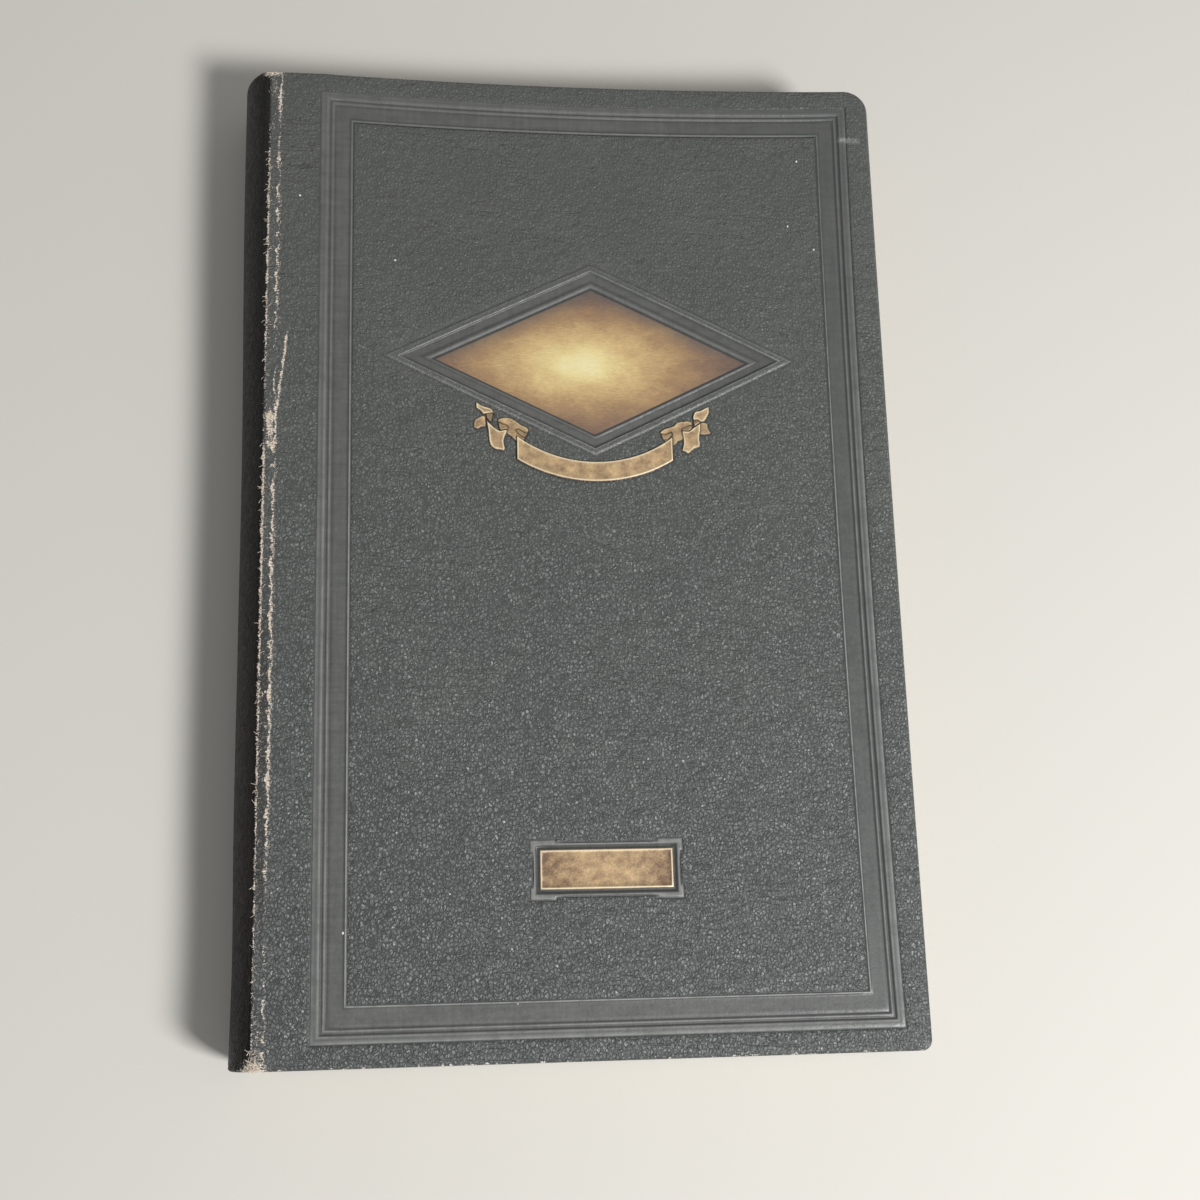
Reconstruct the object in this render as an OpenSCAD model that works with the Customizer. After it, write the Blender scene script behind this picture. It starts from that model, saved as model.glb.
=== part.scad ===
// Antique case-bound book, lying closed on its back cover.
// Origin: centre of the footprint, on the surface that the book lies on.
// +X runs from the spine to the fore-edge, +Y from tail to head, +Z up through the front cover.

/* [Book] */
// Width of a cover, from the worn ridge of the spine to the fore-edge
cover_w = 171; // [130:1:230]
// Height of the covers, tail to head
cover_h = 270; // [230:0.5:340]
// Thickness of the closed book over the leather
book_t = 28; // [22:0.5:45]
// Corner radius at the head of the fore-edge
head_corner_r = 6.5; // [2:0.5:12]
// Corner radius at the tail of the fore-edge
tail_corner_r = 2.7; // [2:0.1:12]
// Radius rolled on the covered edges of the boards
edge_r = 1.1; // [0.4:0.1:1.5]

/* [Boards and covering] */
// Thickness of the binder's board
board_t = 2.4; // [1.6:0.1:4]
// Thickness of the leather
leather_t = 0.9; // [0.6:0.05:1.3]
// Width of the leather turned in, from the edge of the cover
turn_in_w = 15; // [10:1:22]
// Thickness of the pared leather of a turn-in
turn_in_t = 0.4; // [0.2:0.05:0.5]
// Thickness of the endpaper
paper_t = 0.2; // [0.1:0.05:0.3]
// Leather left bare round the pastedown
paper_margin = 3.5; // [2:0.5:6]
// Width of the mull glued to a board
flange_w = 26; // [15:1:40]

/* [Spine] */
// How far the rounded spine stands out past the ridges
spine_bulge = 6.4; // [4:0.2:10]
// Radius of the ridges along the joints
ridge_r = 2.5; // [1.8:0.1:3.5]
// Distance from a ridge to the crease that the cover folds on
joint_w = 3.3; // [2.8:0.1:6]
// Slit between the spine leather and the cover leather at the crease
crease_gap = 0.3; // [0.2:0.05:0.5]
// Thickness of the card that stiffens the spine
inlay_t = 0.8; // [0.4:0.1:1.2]
// Thickness of the glue between the card and the leather
glue_t = 0.05; // [0.05:0.05:0.2]
// Distance that the card stops short of the ridges
inlay_margin = 1.2; // [0.5:0.1:3]
// Thickness of the mull, the open cloth glued to the back of the pages
mull_t = 0.3; // [0.1:0.05:0.5]
// Distance that the mull stops short of the ends of the pages
mull_margin = 12; // [5:1:30]
// Clearance in the hollow between the turned-in leather and the mull
hollow_gap = 0.15; // [0.1:0.05:1]

/* [Pages] */
// Distance from the fore-edge of the covers to the pages
fore_square = 3.3; // [2:0.1:6]
// Distance from the head and tail of the covers to the pages
end_square = 3; // [2.4:0.1:6]
// Clearance between the pages and a pastedown
page_gap = 0.1; // [0.05:0.05:0.5]
// Clearance between the shoulder of the pages and the edge of a board
shoulder_gap = 0.5; // [0.3:0.05:0.8]
// Radius of the cord inside the head and tail bands
band_r = 1; // [0.6:0.1:1.1]
// Share of a band's radius that it is pressed flat on the pages
band_seat = 0.3; // [0.1:0.05:0.5]

/* [Border] */
// Margin from the ridge to the border
border_spine_margin = 14.8; // [10:0.1:24]
// Margin from the fore-edge to the border
border_fore_margin = 7.2; // [4:0.1:14]
// Margin from the head to the border
border_head_margin = 6.25; // [3:0.05:12]
// Margin from the tail to the border
border_tail_margin = 6.25; // [3:0.05:12]
// Width of the outer fillet
outer_fillet_w = 2; // [1:0.1:3]
// Width of the fine bead inside it
fine_bead_w = 0.8; // [0.4:0.1:1.5]
// Width of the two grooves beside the bead
groove_w = 0.6; // [0.3:0.1:1]
// Width of the smooth flat inside the grooves
border_flat_w = 3.9; // [2:0.1:6]
// Width of the inner fillet
inner_fillet_w = 0.5; // [0.3:0.1:1.2]
// Height of the fillets over the grained face
fillet_h = 0.3; // [0.1:0.05:0.5]
// Height of the fine bead
bead_h = 0.15; // [0.05:0.05:0.3]
// Depth of the grooves
groove_d = 0.15; // [0.05:0.05:0.3]

/* [Diamond panel] */
// Half the width of the diamond, at the foot of its outer lip
diamond_half_w = 51; // [30:0.5:56]
// Half the height of the diamond, at the foot of its outer lip
diamond_half_h = 25.2; // [18:0.1:40]
// Distance of the diamond's centre from the tail of the border
diamond_rise = 179.5; // [120:0.5:190]
// How far the diamond, ribbon and label sit nearer the spine than the middle of the border
panel_shift = 0.6; // [0.1:0.1:3]
// Width of the flattened apron round the diamond
apron_w = 3.2; // [1:0.1:5]
// Width of the outer lip
lip_w = 1.2; // [0.6:0.1:2]
// Width of the sunk valley inside the lip
valley_w = 2.2; // [1:0.1:4]
// Width of the ridge round the gilt field
ridge_w = 2; // [1:0.1:3]
// Height of the apron
apron_h = 0.06; // [0.02:0.02:0.1]
// Height of the lip
lip_h = 0.32; // [0.1:0.02:0.5]
// Height of the ridge
panel_ridge_h = 0.24; // [0.1:0.02:0.5]
// Depth of the valley and of the gilt field
sunk_d = 0.15; // [0.05:0.05:0.3]

/* [Ribbon] */
// Radius of the ribbon's upper edge
ribbon_r = 35; // [30:0.5:45]
// Width of the ribbon
ribbon_w = 5.6; // [3:0.1:7]
// Half the length of the ribbon's middle, between its upright ends
ribbon_half_l = 21.3; // [16:0.1:24]
// Distance of the ribbon's lowest point below the diamond's centre
ribbon_drop = 35.4; // [32:0.1:38]
// Height of the middle of the ribbon
ribbon_h = 0.4; // [0.1:0.05:0.5]
// Height of the folds behind it
fold_h = 0.22; // [0.1:0.02:0.5]
// Height of the drapes that hang beside it
drape_h = 0.34; // [0.1:0.02:0.5]

/* [Label] */
// Width of the label's frame
label_w = 40.4; // [30:0.2:60]
// Height of the label's frame
label_h = 16.2; // [12:0.2:25]
// Distance of the label's centre from the tail of the border
label_rise = 41; // [25:0.5:70]
// Length of the corner ears along the width
ear_l = 7.6; // [4:0.2:12]
// Length of the corner ears along the height
ear_s = 4.2; // [2:0.2:5]
// Distance that the ears stand out past the sides
ear_out = 0.8; // [0.3:0.1:1.5]
// Width of the frame at the ears
label_frame_w = 2.3; // [1.5:0.1:4]
// Width of the sunk channel round the plate
channel_w = 1.1; // [0.6:0.1:2]
// Width of the rim round the plate
rim_w = 0.5; // [0.3:0.1:1]
// Height of the frame
label_frame_h = 0.25; // [0.1:0.05:0.5]
// Height of the plate
plate_h = 0.15; // [0.05:0.05:0.4]
// Height of the rim over the plate
rim_h = 0.12; // [0.05:0.01:0.2]

/* [Hidden] */

// Steps in each arc of a section, and the overlap that makes cuts clean
arc_steps = 14;
corner_steps = 8;
roll_steps = 4;
cut = 1;
skin = 0.01;
sink = 0.3;

// Places across the book
ridge_x = (spine_bulge - cover_w) / 2;
fore_x = ridge_x + cover_w;
crease_x = ridge_x + joint_w;
half_t = book_t / 2;
half_h = cover_h / 2;

// Round of the spine: one circle through both ridges, blended into the faces by the ridges
round_r = (half_t * half_t + spine_bulge * spine_bulge) / (2 * spine_bulge);
round_x = ridge_x - spine_bulge + round_r;
ridge_run = sqrt(pow(round_r - ridge_r, 2) - pow(half_t - ridge_r, 2));
ridge_arc_x = round_x - ridge_run;
round_angle = atan2(half_t - ridge_r, ridge_run);

// Radii inside the spine
inlay_out_r = round_r - leather_t - glue_t;
inlay_in_r = inlay_out_r - inlay_t;
turned_in_r = inlay_in_r - turn_in_t;
mull_out_r = turned_in_r - hollow_gap;
back_r = mull_out_r - mull_t;
inlay_angle = round_angle - inlay_margin / round_r * 180 / PI;

// Depths below the outer face of a cover
board_in_d = leather_t + board_t;
turned_d = board_in_d + turn_in_t;
cover_t = turned_d + paper_t;
paper_edge = leather_t + paper_margin;

// Pages
page_half_t = half_t - cover_t - page_gap;
page_h = cover_h - 2 * end_square;
shoulder_x = crease_x - shoulder_gap;
shoulder_limit = half_t - leather_t - mull_t;
shoulder_angle = min(asin(min(1, shoulder_limit / back_r)), acos((round_x - shoulder_x) / back_r));
page_fore_x = fore_x - fore_square;
fore_angle = asin(page_half_t / back_r);
fore_round_x = page_fore_x + back_r * cos(fore_angle);

// Head and tail bands
band_track_r = back_r - band_r;
band_angle = asin(page_half_t / back_r);

// Border
border_x0 = ridge_x + border_spine_margin;
border_x1 = fore_x - border_fore_margin;
border_y0 = border_tail_margin - half_h;
border_y1 = half_h - border_head_margin;
panel_x = (border_x0 + border_x1) / 2 - panel_shift;
bead_in = outer_fillet_w + groove_w;
flat_in = bead_in + fine_bead_w + groove_w;
inner_fillet_in = flat_in + border_flat_w;
field_in = inner_fillet_in + inner_fillet_w;

// Diamond: distances inwards from the foot of its outer lip
diamond_y = border_y0 + diamond_rise;
diamond_inradius = diamond_half_w * diamond_half_h / norm([diamond_half_w, diamond_half_h]);
valley_in = lip_w / 2;
panel_ridge_in = valley_in + valley_w;
gilt_in = panel_ridge_in + ridge_w;

// Ribbon: its arcs are struck from a point over its lowest point
ribbon_out_r = ribbon_r + ribbon_w;
ribbon_arc_y = ribbon_out_r - ribbon_drop;
ribbon_end_y = ribbon_arc_y - sqrt(ribbon_r * ribbon_r - ribbon_half_l * ribbon_half_l);

// Label: its channel and its plate
label_y = border_y0 + label_rise;
channel_l = label_w - 2 * label_frame_w;
channel_h = label_h - 2 * label_frame_w;
plate_l = channel_l - 2 * channel_w;
plate_b = channel_h - 2 * channel_w;

// Points of an arc from angle a0 to angle a1
function arc(cx, cy, r, a0, a1, steps = arc_steps) = [
    for (i = [0:steps]) let (a = a0 + (a1 - a0) * i / steps) [cx + r * cos(a), cy + r * sin(a)]
];

function backwards(points) = [for (i = [len(points) - 1:-1:0]) points[i]];

// Section line of the spine covering, at a depth below its outer face
function spine_line(depth, end_x) = concat(
    [[end_x, book_t - depth]],
    arc(ridge_arc_x, book_t - ridge_r, ridge_r - depth, 90, 180 - round_angle, corner_steps),
    arc(round_x, half_t, round_r - depth, 180 - round_angle, 180 + round_angle),
    arc(ridge_arc_x, ridge_r, ridge_r - depth, 180 + round_angle, 270, corner_steps),
    [[end_x, depth]]
);

// Section of a curved sheet that follows the round of the spine
function round_sheet(r_out, r_in, angle) = concat(
    arc(round_x, half_t, r_out, 180 - angle, 180 + angle),
    arc(round_x, half_t, r_in, 180 + angle, 180 - angle)
);

// Outline of a cover, inset on its three free sides
function cover_outline(inset, x0 = crease_x) = concat(
    [[x0, half_h - inset], [x0, inset - half_h]],
    arc(fore_x - max(inset, tail_corner_r), max(inset, tail_corner_r) - half_h,
        max(0.05, tail_corner_r - inset), 270, 360, corner_steps),
    arc(fore_x - max(inset, head_corner_r), half_h - max(inset, head_corner_r),
        max(0.05, head_corner_r - inset), 0, 90, corner_steps)
);

// Stretches a section drawn across the book along its height
module along_book(length) {
    rotate([90, 0, 0])
        linear_extrude(height = length, center = true)
            children();
}

// A plate between two depths below the outer face of the front cover
module front_plate(depth0, depth1) {
    translate([0, 0, book_t - depth1])
        linear_extrude(height = depth1 - depth0)
            children();
}

// A raised or sunk piece of relief on the face of the front cover
module raised(height) {
    front_plate(-height, sink) children();
}

module sunk(depth) {
    front_plate(-cut, depth) children();
}

// Border outline, inset from its outer edge, and the band between two insets
module border_outline(inset) {
    translate([border_x0 + inset, border_y0 + inset])
        square([border_x1 - border_x0 - 2 * inset, border_y1 - border_y0 - 2 * inset]);
}

module border_band(inset, width) {
    difference() {
        border_outline(inset);
        border_outline(inset + width);
    }
}

// Diamond outline, inset by a distance square to its sides
module diamond_outline(inset) {
    share = 1 - inset / diamond_inradius;
    a = diamond_half_w * share;
    b = diamond_half_h * share;
    translate([panel_x, diamond_y])
        polygon([[a, 0], [0, b], [-a, 0], [0, -b]]);
}

module diamond_band(inset, width) {
    difference() {
        diamond_outline(inset);
        diamond_outline(inset + width);
    }
}

// Middle of the ribbon, a curved band with upright ends
module ribbon_middle() {
    out_angle = asin(ribbon_half_l / ribbon_out_r);
    in_angle = asin(ribbon_half_l / ribbon_r);
    polygon(concat(
        arc(0, ribbon_arc_y, ribbon_out_r, 270 - out_angle, 270 + out_angle, 2 * arc_steps),
        arc(0, ribbon_arc_y, ribbon_r, 270 + in_angle, 270 - in_angle, 2 * arc_steps)
    ));
}

// Place beside the ribbon, in ribbon widths outwards and upwards from the upper corner of its middle
function by_ribbon(places) = [
    for (p = places) [ribbon_half_l + p[0] * ribbon_w, ribbon_end_y + p[1] * ribbon_w]
];

// Ribbon rolled back behind one end of the middle, and out to the drape
module ribbon_fold() {
    polygon(by_ribbon([
        [-0.57, 0.16], [-0.48, 0.37], [-0.1, 0.56], [0.2, 0.76], [0.6, 0.87], [0.92, 0.8], [1.02, 0.6],
        [0.97, 0.36], [0.5, 0.02], [0.3, -0.16], [0.1, -0.36], [-0.3, -0.45]
    ]));
}

// Length of ribbon that hangs from the fold
module ribbon_drape() {
    polygon(by_ribbon([
        [0.47, 0.31], [0.84, 0.28], [1.15, 0.5], [1.45, 0.77], [1.38, 0.3], [1.35, -0.05], [1.36, -0.42],
        [1.1, -0.6], [0.8, -0.8], [0.52, -0.72], [0.58, -0.34], [0.53, -0.02]
    ]));
}

// The two points of the ribbon's cut end
module ribbon_upper_tip() {
    polygon(by_ribbon([
        [1.92, 1.66], [1.6, 1.46], [1.25, 1.35], [1.1, 1.15], [1.08, 0.85], [1.16, 0.55], [1.47, 0.8],
        [1.62, 0.98], [1.85, 1.2], [1.92, 1.42]
    ]));
}

module ribbon_lower_tip() {
    polygon(by_ribbon([
        [1.37, 0.66], [1.56, 0.88], [1.8, 0.8], [1.91, 0.56], [2, 0.3], [1.87, 0.2], [1.65, 0.25],
        [1.3, 0.22]
    ]));
}

module ribbon_relief() {
    translate([panel_x, diamond_y]) {
        for (side = [0, 1]) {
            mirror([side, 0, 0]) {
                raised(fold_h) {
                    ribbon_fold();
                    ribbon_lower_tip();
                }
                raised((fold_h + drape_h) / 2) ribbon_upper_tip();
                raised(drape_h) ribbon_drape();
            }
        }
        raised(ribbon_h) ribbon_middle();
    }
}

// Rectangle centred on the label
module label_panel(w, h) {
    translate([panel_x - w / 2, label_y - h / 2])
        square([w, h]);
}

// Frame of the label: a plain rectangle with an ear at each corner
module label_outline() {
    label_panel(label_w - 2 * ear_out, label_h - 2 * ear_out);
    for (sx = [-1, 1], sy = [-1, 1]) {
        ear_x = panel_x + sx * (label_w - ear_l) / 2;
        ear_y = label_y + sy * (label_h - ear_s) / 2;
        translate([ear_x - ear_l / 2, ear_y - ear_s / 2])
            square([ear_l, ear_s]);
    }
}

module label_relief() {
    difference() {
        raised(label_frame_h) label_outline();
        sunk(sunk_d) label_panel(channel_l, channel_h);
    }
    difference() {
        raised(plate_h + rim_h) label_panel(plate_l, plate_b);
        translate([0, 0, plate_h])
            sunk(0) label_panel(plate_l - 2 * rim_w, plate_b - 2 * rim_w);
    }
}

// Everything raised on the front cover, less what is sunk
module cover_relief() {
    raised(fillet_h) border_band(0, outer_fillet_w);
    raised(bead_h) border_band(bead_in, fine_bead_w);
    raised(fillet_h) border_band(inner_fillet_in, inner_fillet_w);
    raised(apron_h) diamond_band(-apron_w, apron_w);
    raised(lip_h) diamond_band(-lip_w / 2, lip_w);
    raised(panel_ridge_h) diamond_band(panel_ridge_in, ridge_w);
    ribbon_relief();
    label_relief();
}

module cover_sinkings() {
    sunk(groove_d) border_band(outer_fillet_w, groove_w);
    sunk(groove_d) border_band(flat_in - groove_w, groove_w);
    sunk(sunk_d) diamond_band(valley_in, valley_w);
    sunk(sunk_d) diamond_outline(gilt_in);
    sunk(sunk_d)
        difference() {
            label_panel(channel_l, channel_h);
            label_panel(plate_l, plate_b);
        }
}

// Leather over a board: outlines stacked from the face to the turn-ins, rolled in at both
module rolled_skin() {
    rolls = [for (i = [0:roll_steps]) 90 * i / roll_steps];
    levels = concat(
        [for (a = rolls) [edge_r * (1 - sin(a)), edge_r * (1 - cos(a))]],
        [for (a = backwards(rolls)) [edge_r * (1 - sin(a)), turned_d - edge_r * (1 - cos(a))]]
    );
    rings = [for (level = levels) cover_outline(level[0])];
    n = len(rings[0]);
    last = len(levels) - 1;
    points = [for (j = [0:last], p = rings[j]) [p[0], p[1], book_t - levels[j][1]]];
    sides = [for (j = [0:last - 1], i = [0:n - 1]) let (k = (i + 1) % n)
        [j * n + i, j * n + k, (j + 1) * n + k, (j + 1) * n + i]];
    polyhedron(points, concat([[for (i = [n - 1:-1:0]) i]], [[for (i = [0:n - 1]) last * n + i]], sides));
}

// Opening inside the turn-ins and the mull, where the board is bare under the endpaper
module turn_in_window(x0, grow = 0) {
    translate([x0, turn_in_w - grow - half_h])
        square([fore_x - turn_in_w + grow - x0, cover_h - 2 * (turn_in_w - grow)]);
}

module cover_skin() {
    difference() {
        rolled_skin();
        front_plate(leather_t, board_in_d) polygon(cover_outline(leather_t, crease_x - cut));
        front_plate(board_in_d - skin, turned_d + cut) turn_in_window(crease_x - cut);
    }
}

module cover_board() {
    front_plate(leather_t, board_in_d) polygon(cover_outline(leather_t, crease_x + paper_t));
}

module cover_flange() {
    front_plate(board_in_d, turned_d)
        translate([crease_x + paper_t, turn_in_w - half_h])
            square([flange_w, cover_h - 2 * turn_in_w]);
}

// Endpaper pasted to a board: it steps over the turn-ins and the mull, and wraps the edge at the joint
module cover_pastedown() {
    flange_end = crease_x + paper_t + flange_w;
    sheet_h = cover_h - 2 * paper_edge;
    difference() {
        front_plate(board_in_d, cover_t)
            translate([crease_x, -sheet_h / 2])
                square([fore_x - paper_edge - crease_x, sheet_h]);
        front_plate(board_in_d - cut, turned_d) {
            difference() {
                translate([crease_x - cut, -half_h])
                    square([cover_w, cover_h]);
                turn_in_window(crease_x - 2 * cut);
            }
            translate([crease_x + paper_t, -half_h])
                square([flange_w, cover_h]);
        }
        front_plate(board_in_d + paper_t, cover_t + cut)
            turn_in_window(flange_end + paper_t, -paper_t);
    }
    front_plate(leather_t, cover_t)
        translate([crease_x, turn_in_w - half_h])
            square([paper_t, cover_h - 2 * turn_in_w]);
}

// Turns a piece of the front cover into the same piece of the back cover
module as_back() {
    translate([0, 0, book_t])
        mirror([0, 0, 1])
            children();
}

module text_block() {
    color("oldlace")
        along_book(page_h)
            polygon(concat(
                arc(round_x, half_t, back_r, 180 - shoulder_angle, 180 + shoulder_angle, 2 * arc_steps),
                [[shoulder_x, half_t - back_r * sin(shoulder_angle)], [shoulder_x, half_t - page_half_t]],
                arc(fore_round_x, half_t, back_r, 180 + fore_angle, 180 - fore_angle, 2 * arc_steps),
                [[shoulder_x, half_t + page_half_t], [shoulder_x, half_t + back_r * sin(shoulder_angle)]]
            ));
}

module mull() {
    color("wheat")
        along_book(page_h - 2 * mull_margin)
            polygon(concat(
                arc(round_x, half_t, mull_out_r, 180 - shoulder_angle, 180 + shoulder_angle, 2 * arc_steps),
                arc(round_x, half_t, back_r, 180 + shoulder_angle, 180 - shoulder_angle, 2 * arc_steps)
            ));
}

// Cord band glued on the end of the pages, along the round of their back
module end_band(side) {
    difference() {
        translate([round_x, side * (page_h / 2 + band_r * (1 - band_seat)), half_t])
            rotate([90, 0, 0])
                rotate([0, 0, 180 - band_angle])
                    rotate_extrude(angle = 2 * band_angle, $fn = 64)
                        translate([band_track_r, 0])
                            circle(r = band_r, $fn = 32);
        translate([ridge_x - cover_w, -page_h / 2, -cut])
            cube([2 * cover_w, page_h, book_t + 2 * cut]);
    }
}

module head_band() {
    color("tan") end_band(1);
}

module tail_band() {
    color("tan") end_band(-1);
}

module spine_inlay() {
    color("burlywood")
        along_book(cover_h - 2 * leather_t)
            polygon(round_sheet(inlay_out_r, inlay_in_r, inlay_angle));
}

module spine_leather() {
    end_x = crease_x - crease_gap;
    color("dimgray") {
        along_book(cover_h)
            polygon(concat(spine_line(0, end_x), backwards(spine_line(leather_t, end_x))));
        for (side = [-1, 1]) {
            translate([0, side * (half_h - leather_t / 2), 0])
                along_book(leather_t)
                    polygon(round_sheet(round_r - leather_t / 2, turned_in_r, inlay_angle));
            translate([0, side * (half_h - turn_in_w / 2), 0])
                along_book(turn_in_w)
                    polygon(round_sheet(inlay_in_r, turned_in_r, inlay_angle));
        }
    }
}

module front_board() {
    color("tan") cover_board();
}

module front_leather() {
    color("dimgray")
        union() {
            difference() {
                cover_skin();
                cover_sinkings();
            }
            cover_relief();
        }
}

module front_mull_flange() {
    color("wheat") cover_flange();
}

module front_pastedown() {
    color("antiquewhite") cover_pastedown();
}

module back_board() {
    color("tan") as_back() cover_board();
}

module back_leather() {
    color("dimgray") as_back() cover_skin();
}

module back_mull_flange() {
    color("wheat") as_back() cover_flange();
}

module back_pastedown() {
    color("antiquewhite") as_back() cover_pastedown();
}

text_block();
mull();
head_band();
tail_band();
spine_inlay();
spine_leather();
front_board();
front_leather();
front_mull_flange();
front_pastedown();
back_board();
back_leather();
back_mull_flange();
back_pastedown();
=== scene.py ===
"""An old case-bound book in worn black leather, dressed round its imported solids.

Lengths are millimetres in the frame of the solids until mesh_object() turns them into metres.
"""

import math
import random

import bpy
import bmesh
import numpy as np
from mathutils import Matrix, Vector, geometry, kdtree, noise


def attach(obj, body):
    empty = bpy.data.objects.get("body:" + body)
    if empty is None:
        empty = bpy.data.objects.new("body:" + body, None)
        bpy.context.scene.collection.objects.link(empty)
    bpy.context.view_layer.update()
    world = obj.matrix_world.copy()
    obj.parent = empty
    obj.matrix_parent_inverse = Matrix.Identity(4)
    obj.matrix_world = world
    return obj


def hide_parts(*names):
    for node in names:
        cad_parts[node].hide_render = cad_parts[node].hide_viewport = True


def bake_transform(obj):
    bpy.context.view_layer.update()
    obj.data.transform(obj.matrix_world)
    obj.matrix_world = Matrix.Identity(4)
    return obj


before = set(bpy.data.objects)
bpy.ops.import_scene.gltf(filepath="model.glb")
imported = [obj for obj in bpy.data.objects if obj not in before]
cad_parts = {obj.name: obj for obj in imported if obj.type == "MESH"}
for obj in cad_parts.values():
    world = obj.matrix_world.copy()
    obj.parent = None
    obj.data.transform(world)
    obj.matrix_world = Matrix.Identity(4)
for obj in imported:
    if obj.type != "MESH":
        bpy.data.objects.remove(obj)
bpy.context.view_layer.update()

MM = 0.001

# Places of the book, the same as its solids have
BOOK_T, HALF_H = 28.0, 135.0
RIDGE_X, CREASE_X, FORE_X = -82.3, -79.0, 88.7
SEAM_X, BEND_X = -80.3, -79.3          # spine leather ends, joint starts to bend
HEAD_R, TAIL_R, EDGE_R = 6.5, 2.7, 1.1
LEATHER_T, BOARD_T, TURN_T, PAPER_T = 0.9, 2.4, 0.4, 0.2
TURN_W, FLANGE_W, PAPER_EDGE = 15.0, 26.0, 4.4
BOARD_IN = LEATHER_T + BOARD_T         # depths below the face of a cover
TURNED = BOARD_IN + TURN_T
COVER_T = TURNED + PAPER_T

# Round of the spine
BULGE, RIDGE_R = 6.4, 2.5
ROUND_R = (BOOK_T ** 2 / 4 + BULGE ** 2) / (2 * BULGE)
ROUND_X = RIDGE_X - BULGE + ROUND_R
RIDGE_RUN = math.sqrt((ROUND_R - RIDGE_R) ** 2 - (BOOK_T / 2 - RIDGE_R) ** 2)
ROUND_ANGLE = math.atan2(BOOK_T / 2 - RIDGE_R, RIDGE_RUN)
GLUE_T, INLAY_T = 0.05, 0.8
INLAY_ANGLE = ROUND_ANGLE - 1.2 / ROUND_R
BACK_R = ROUND_R - LEATHER_T - GLUE_T - INLAY_T - TURN_T - 0.15 - 0.3

# Pages
PAGE_HALF_T = BOOK_T / 2 - COVER_T - 0.1
PAGE_HALF_H = HALF_H - 3.0
SHOULDER_X = CREASE_X - 0.5
PAGE_FORE_X = FORE_X - 3.3

# Embossing on the face of the front cover
BORDER = (-67.5, 81.5, -128.75, 128.75)    # left, right, tail, head
PANEL_X, DIAMOND_Y, LABEL_Y = 6.4, 50.75, -87.75
DIAMOND_W, DIAMOND_H, GILT_DROP = 51.0, 25.2, 0.9
RIBBON_R, RIBBON_W, RIBBON_HALF, RIBBON_DROP = 35.0, 5.6, 21.3, 35.4
RIBBON_RISE = RIBBON_R + RIBBON_W - RIBBON_DROP


def linear(code):
    """A colour written as sRGB hex, as the linear colour that a shader takes."""
    parts = [int(code[i:i + 2], 16) / 255 for i in (1, 3, 5)]
    return (*(c / 12.92 if c <= 0.04045 else ((c + 0.055) / 1.055) ** 2.4 for c in parts), 1.0)


def feed(node, *inputs):
    """Gives a node's live inputs their values or links, in order or by name. Colours may be sRGB hex."""
    live = [s for s in node.inputs if not s.is_unavailable]
    given = inputs[0] if inputs and isinstance(inputs[0], dict) else dict(enumerate(inputs))
    for name, value in given.items():
        socket = live[name] if isinstance(name, int) else next(s for s in live if s.name == name)
        if isinstance(value, bpy.types.Node):
            value = next(s for s in value.outputs if not s.is_unavailable)
        if isinstance(value, bpy.types.NodeSocket):
            node.id_data.links.new(value, socket)
        else:
            socket.default_value = linear(value) if isinstance(value, str) else value


def nodes_of(tree):
    """The function that adds a node to this tree, with its inputs and its settings."""
    def add(kind, *inputs, **settings):
        node = tree.nodes.new(kind if "Node" in kind else tree.bl_idname.replace("Tree", kind))
        for name, value in settings.items():
            setattr(node, name, value)
        feed(node, *inputs)
        return node
    return add


def put_in_scene(name, data):
    piece = bpy.data.objects.new(name, data)
    bpy.context.scene.collection.objects.link(piece)
    return piece


# Shape of the leather on the front cover

def smooth(t):
    t = np.clip(t, 0.0, 1.0)
    return t * t * (3 - 2 * t)


def warp(x, y):
    """How far the old front cover has warped down towards its head."""
    x, y = np.asarray(x, float), np.asarray(y, float)
    left, right = BORDER[:2]
    across = np.clip((x - left) / (right - left), 0, 1)
    return -2.3 * np.sin(np.pi * across) ** 0.8 * smooth((y - 15) / (HALF_H - 15)) ** 1.3


def drawn_in(x, y):
    """How far the leather has drawn in along its face: down from the head, and in from the fore-edge."""
    x, y = np.asarray(x, float), np.asarray(y, float)
    left, right, tail, head = BORDER
    across = np.clip((x - left) / (right - left), 0, 1)
    along = np.clip((y - tail) / (head - tail), 0, 1)
    edge = 1 - 0.7 * smooth((x - right) / 7)
    dx = -1.35 * np.sin(np.pi * along) ** 0.8 * smooth((x - 15) / 66) * edge
    dy = -0.9 * np.sin(np.pi * across) ** 0.8 * smooth((y - 75) / 53) * (1 - 0.7 * smooth((y - head) / 6))
    return dx, dy


# Steps of each moulding: distance inwards from its outer edge, and height over the grained face
BORDER_STEPS = np.array([
    (-1.3, 0), (-0.95, -0.02), (-0.6, -0.05), (-0.4, -0.02), (-0.26, 0.1), (-0.1, 0.24), (0.12, 0.31),
    (0.9, 0.33), (1.45, 0.34), (1.65, 0.31), (1.82, 0.17), (1.98, -0.02), (2.15, -0.12), (2.35, -0.1),
    (2.52, 0.02), (2.68, 0.13), (2.86, 0.17), (3.06, 0.15), (3.22, 0.04), (3.36, -0.1), (3.55, -0.16),
    (3.78, -0.12), (4.02, -0.02), (4.3, 0.02), (4.8, 0.02), (7.2, 0.02), (7.6, 0.04), (7.78, 0.12),
    (7.92, 0.23), (8.1, 0.28), (8.28, 0.24), (8.42, 0.1), (8.56, -0.03), (8.75, -0.08), (9.05, -0.05),
    (9.4, -0.01), (9.8, 0),
])
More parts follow.
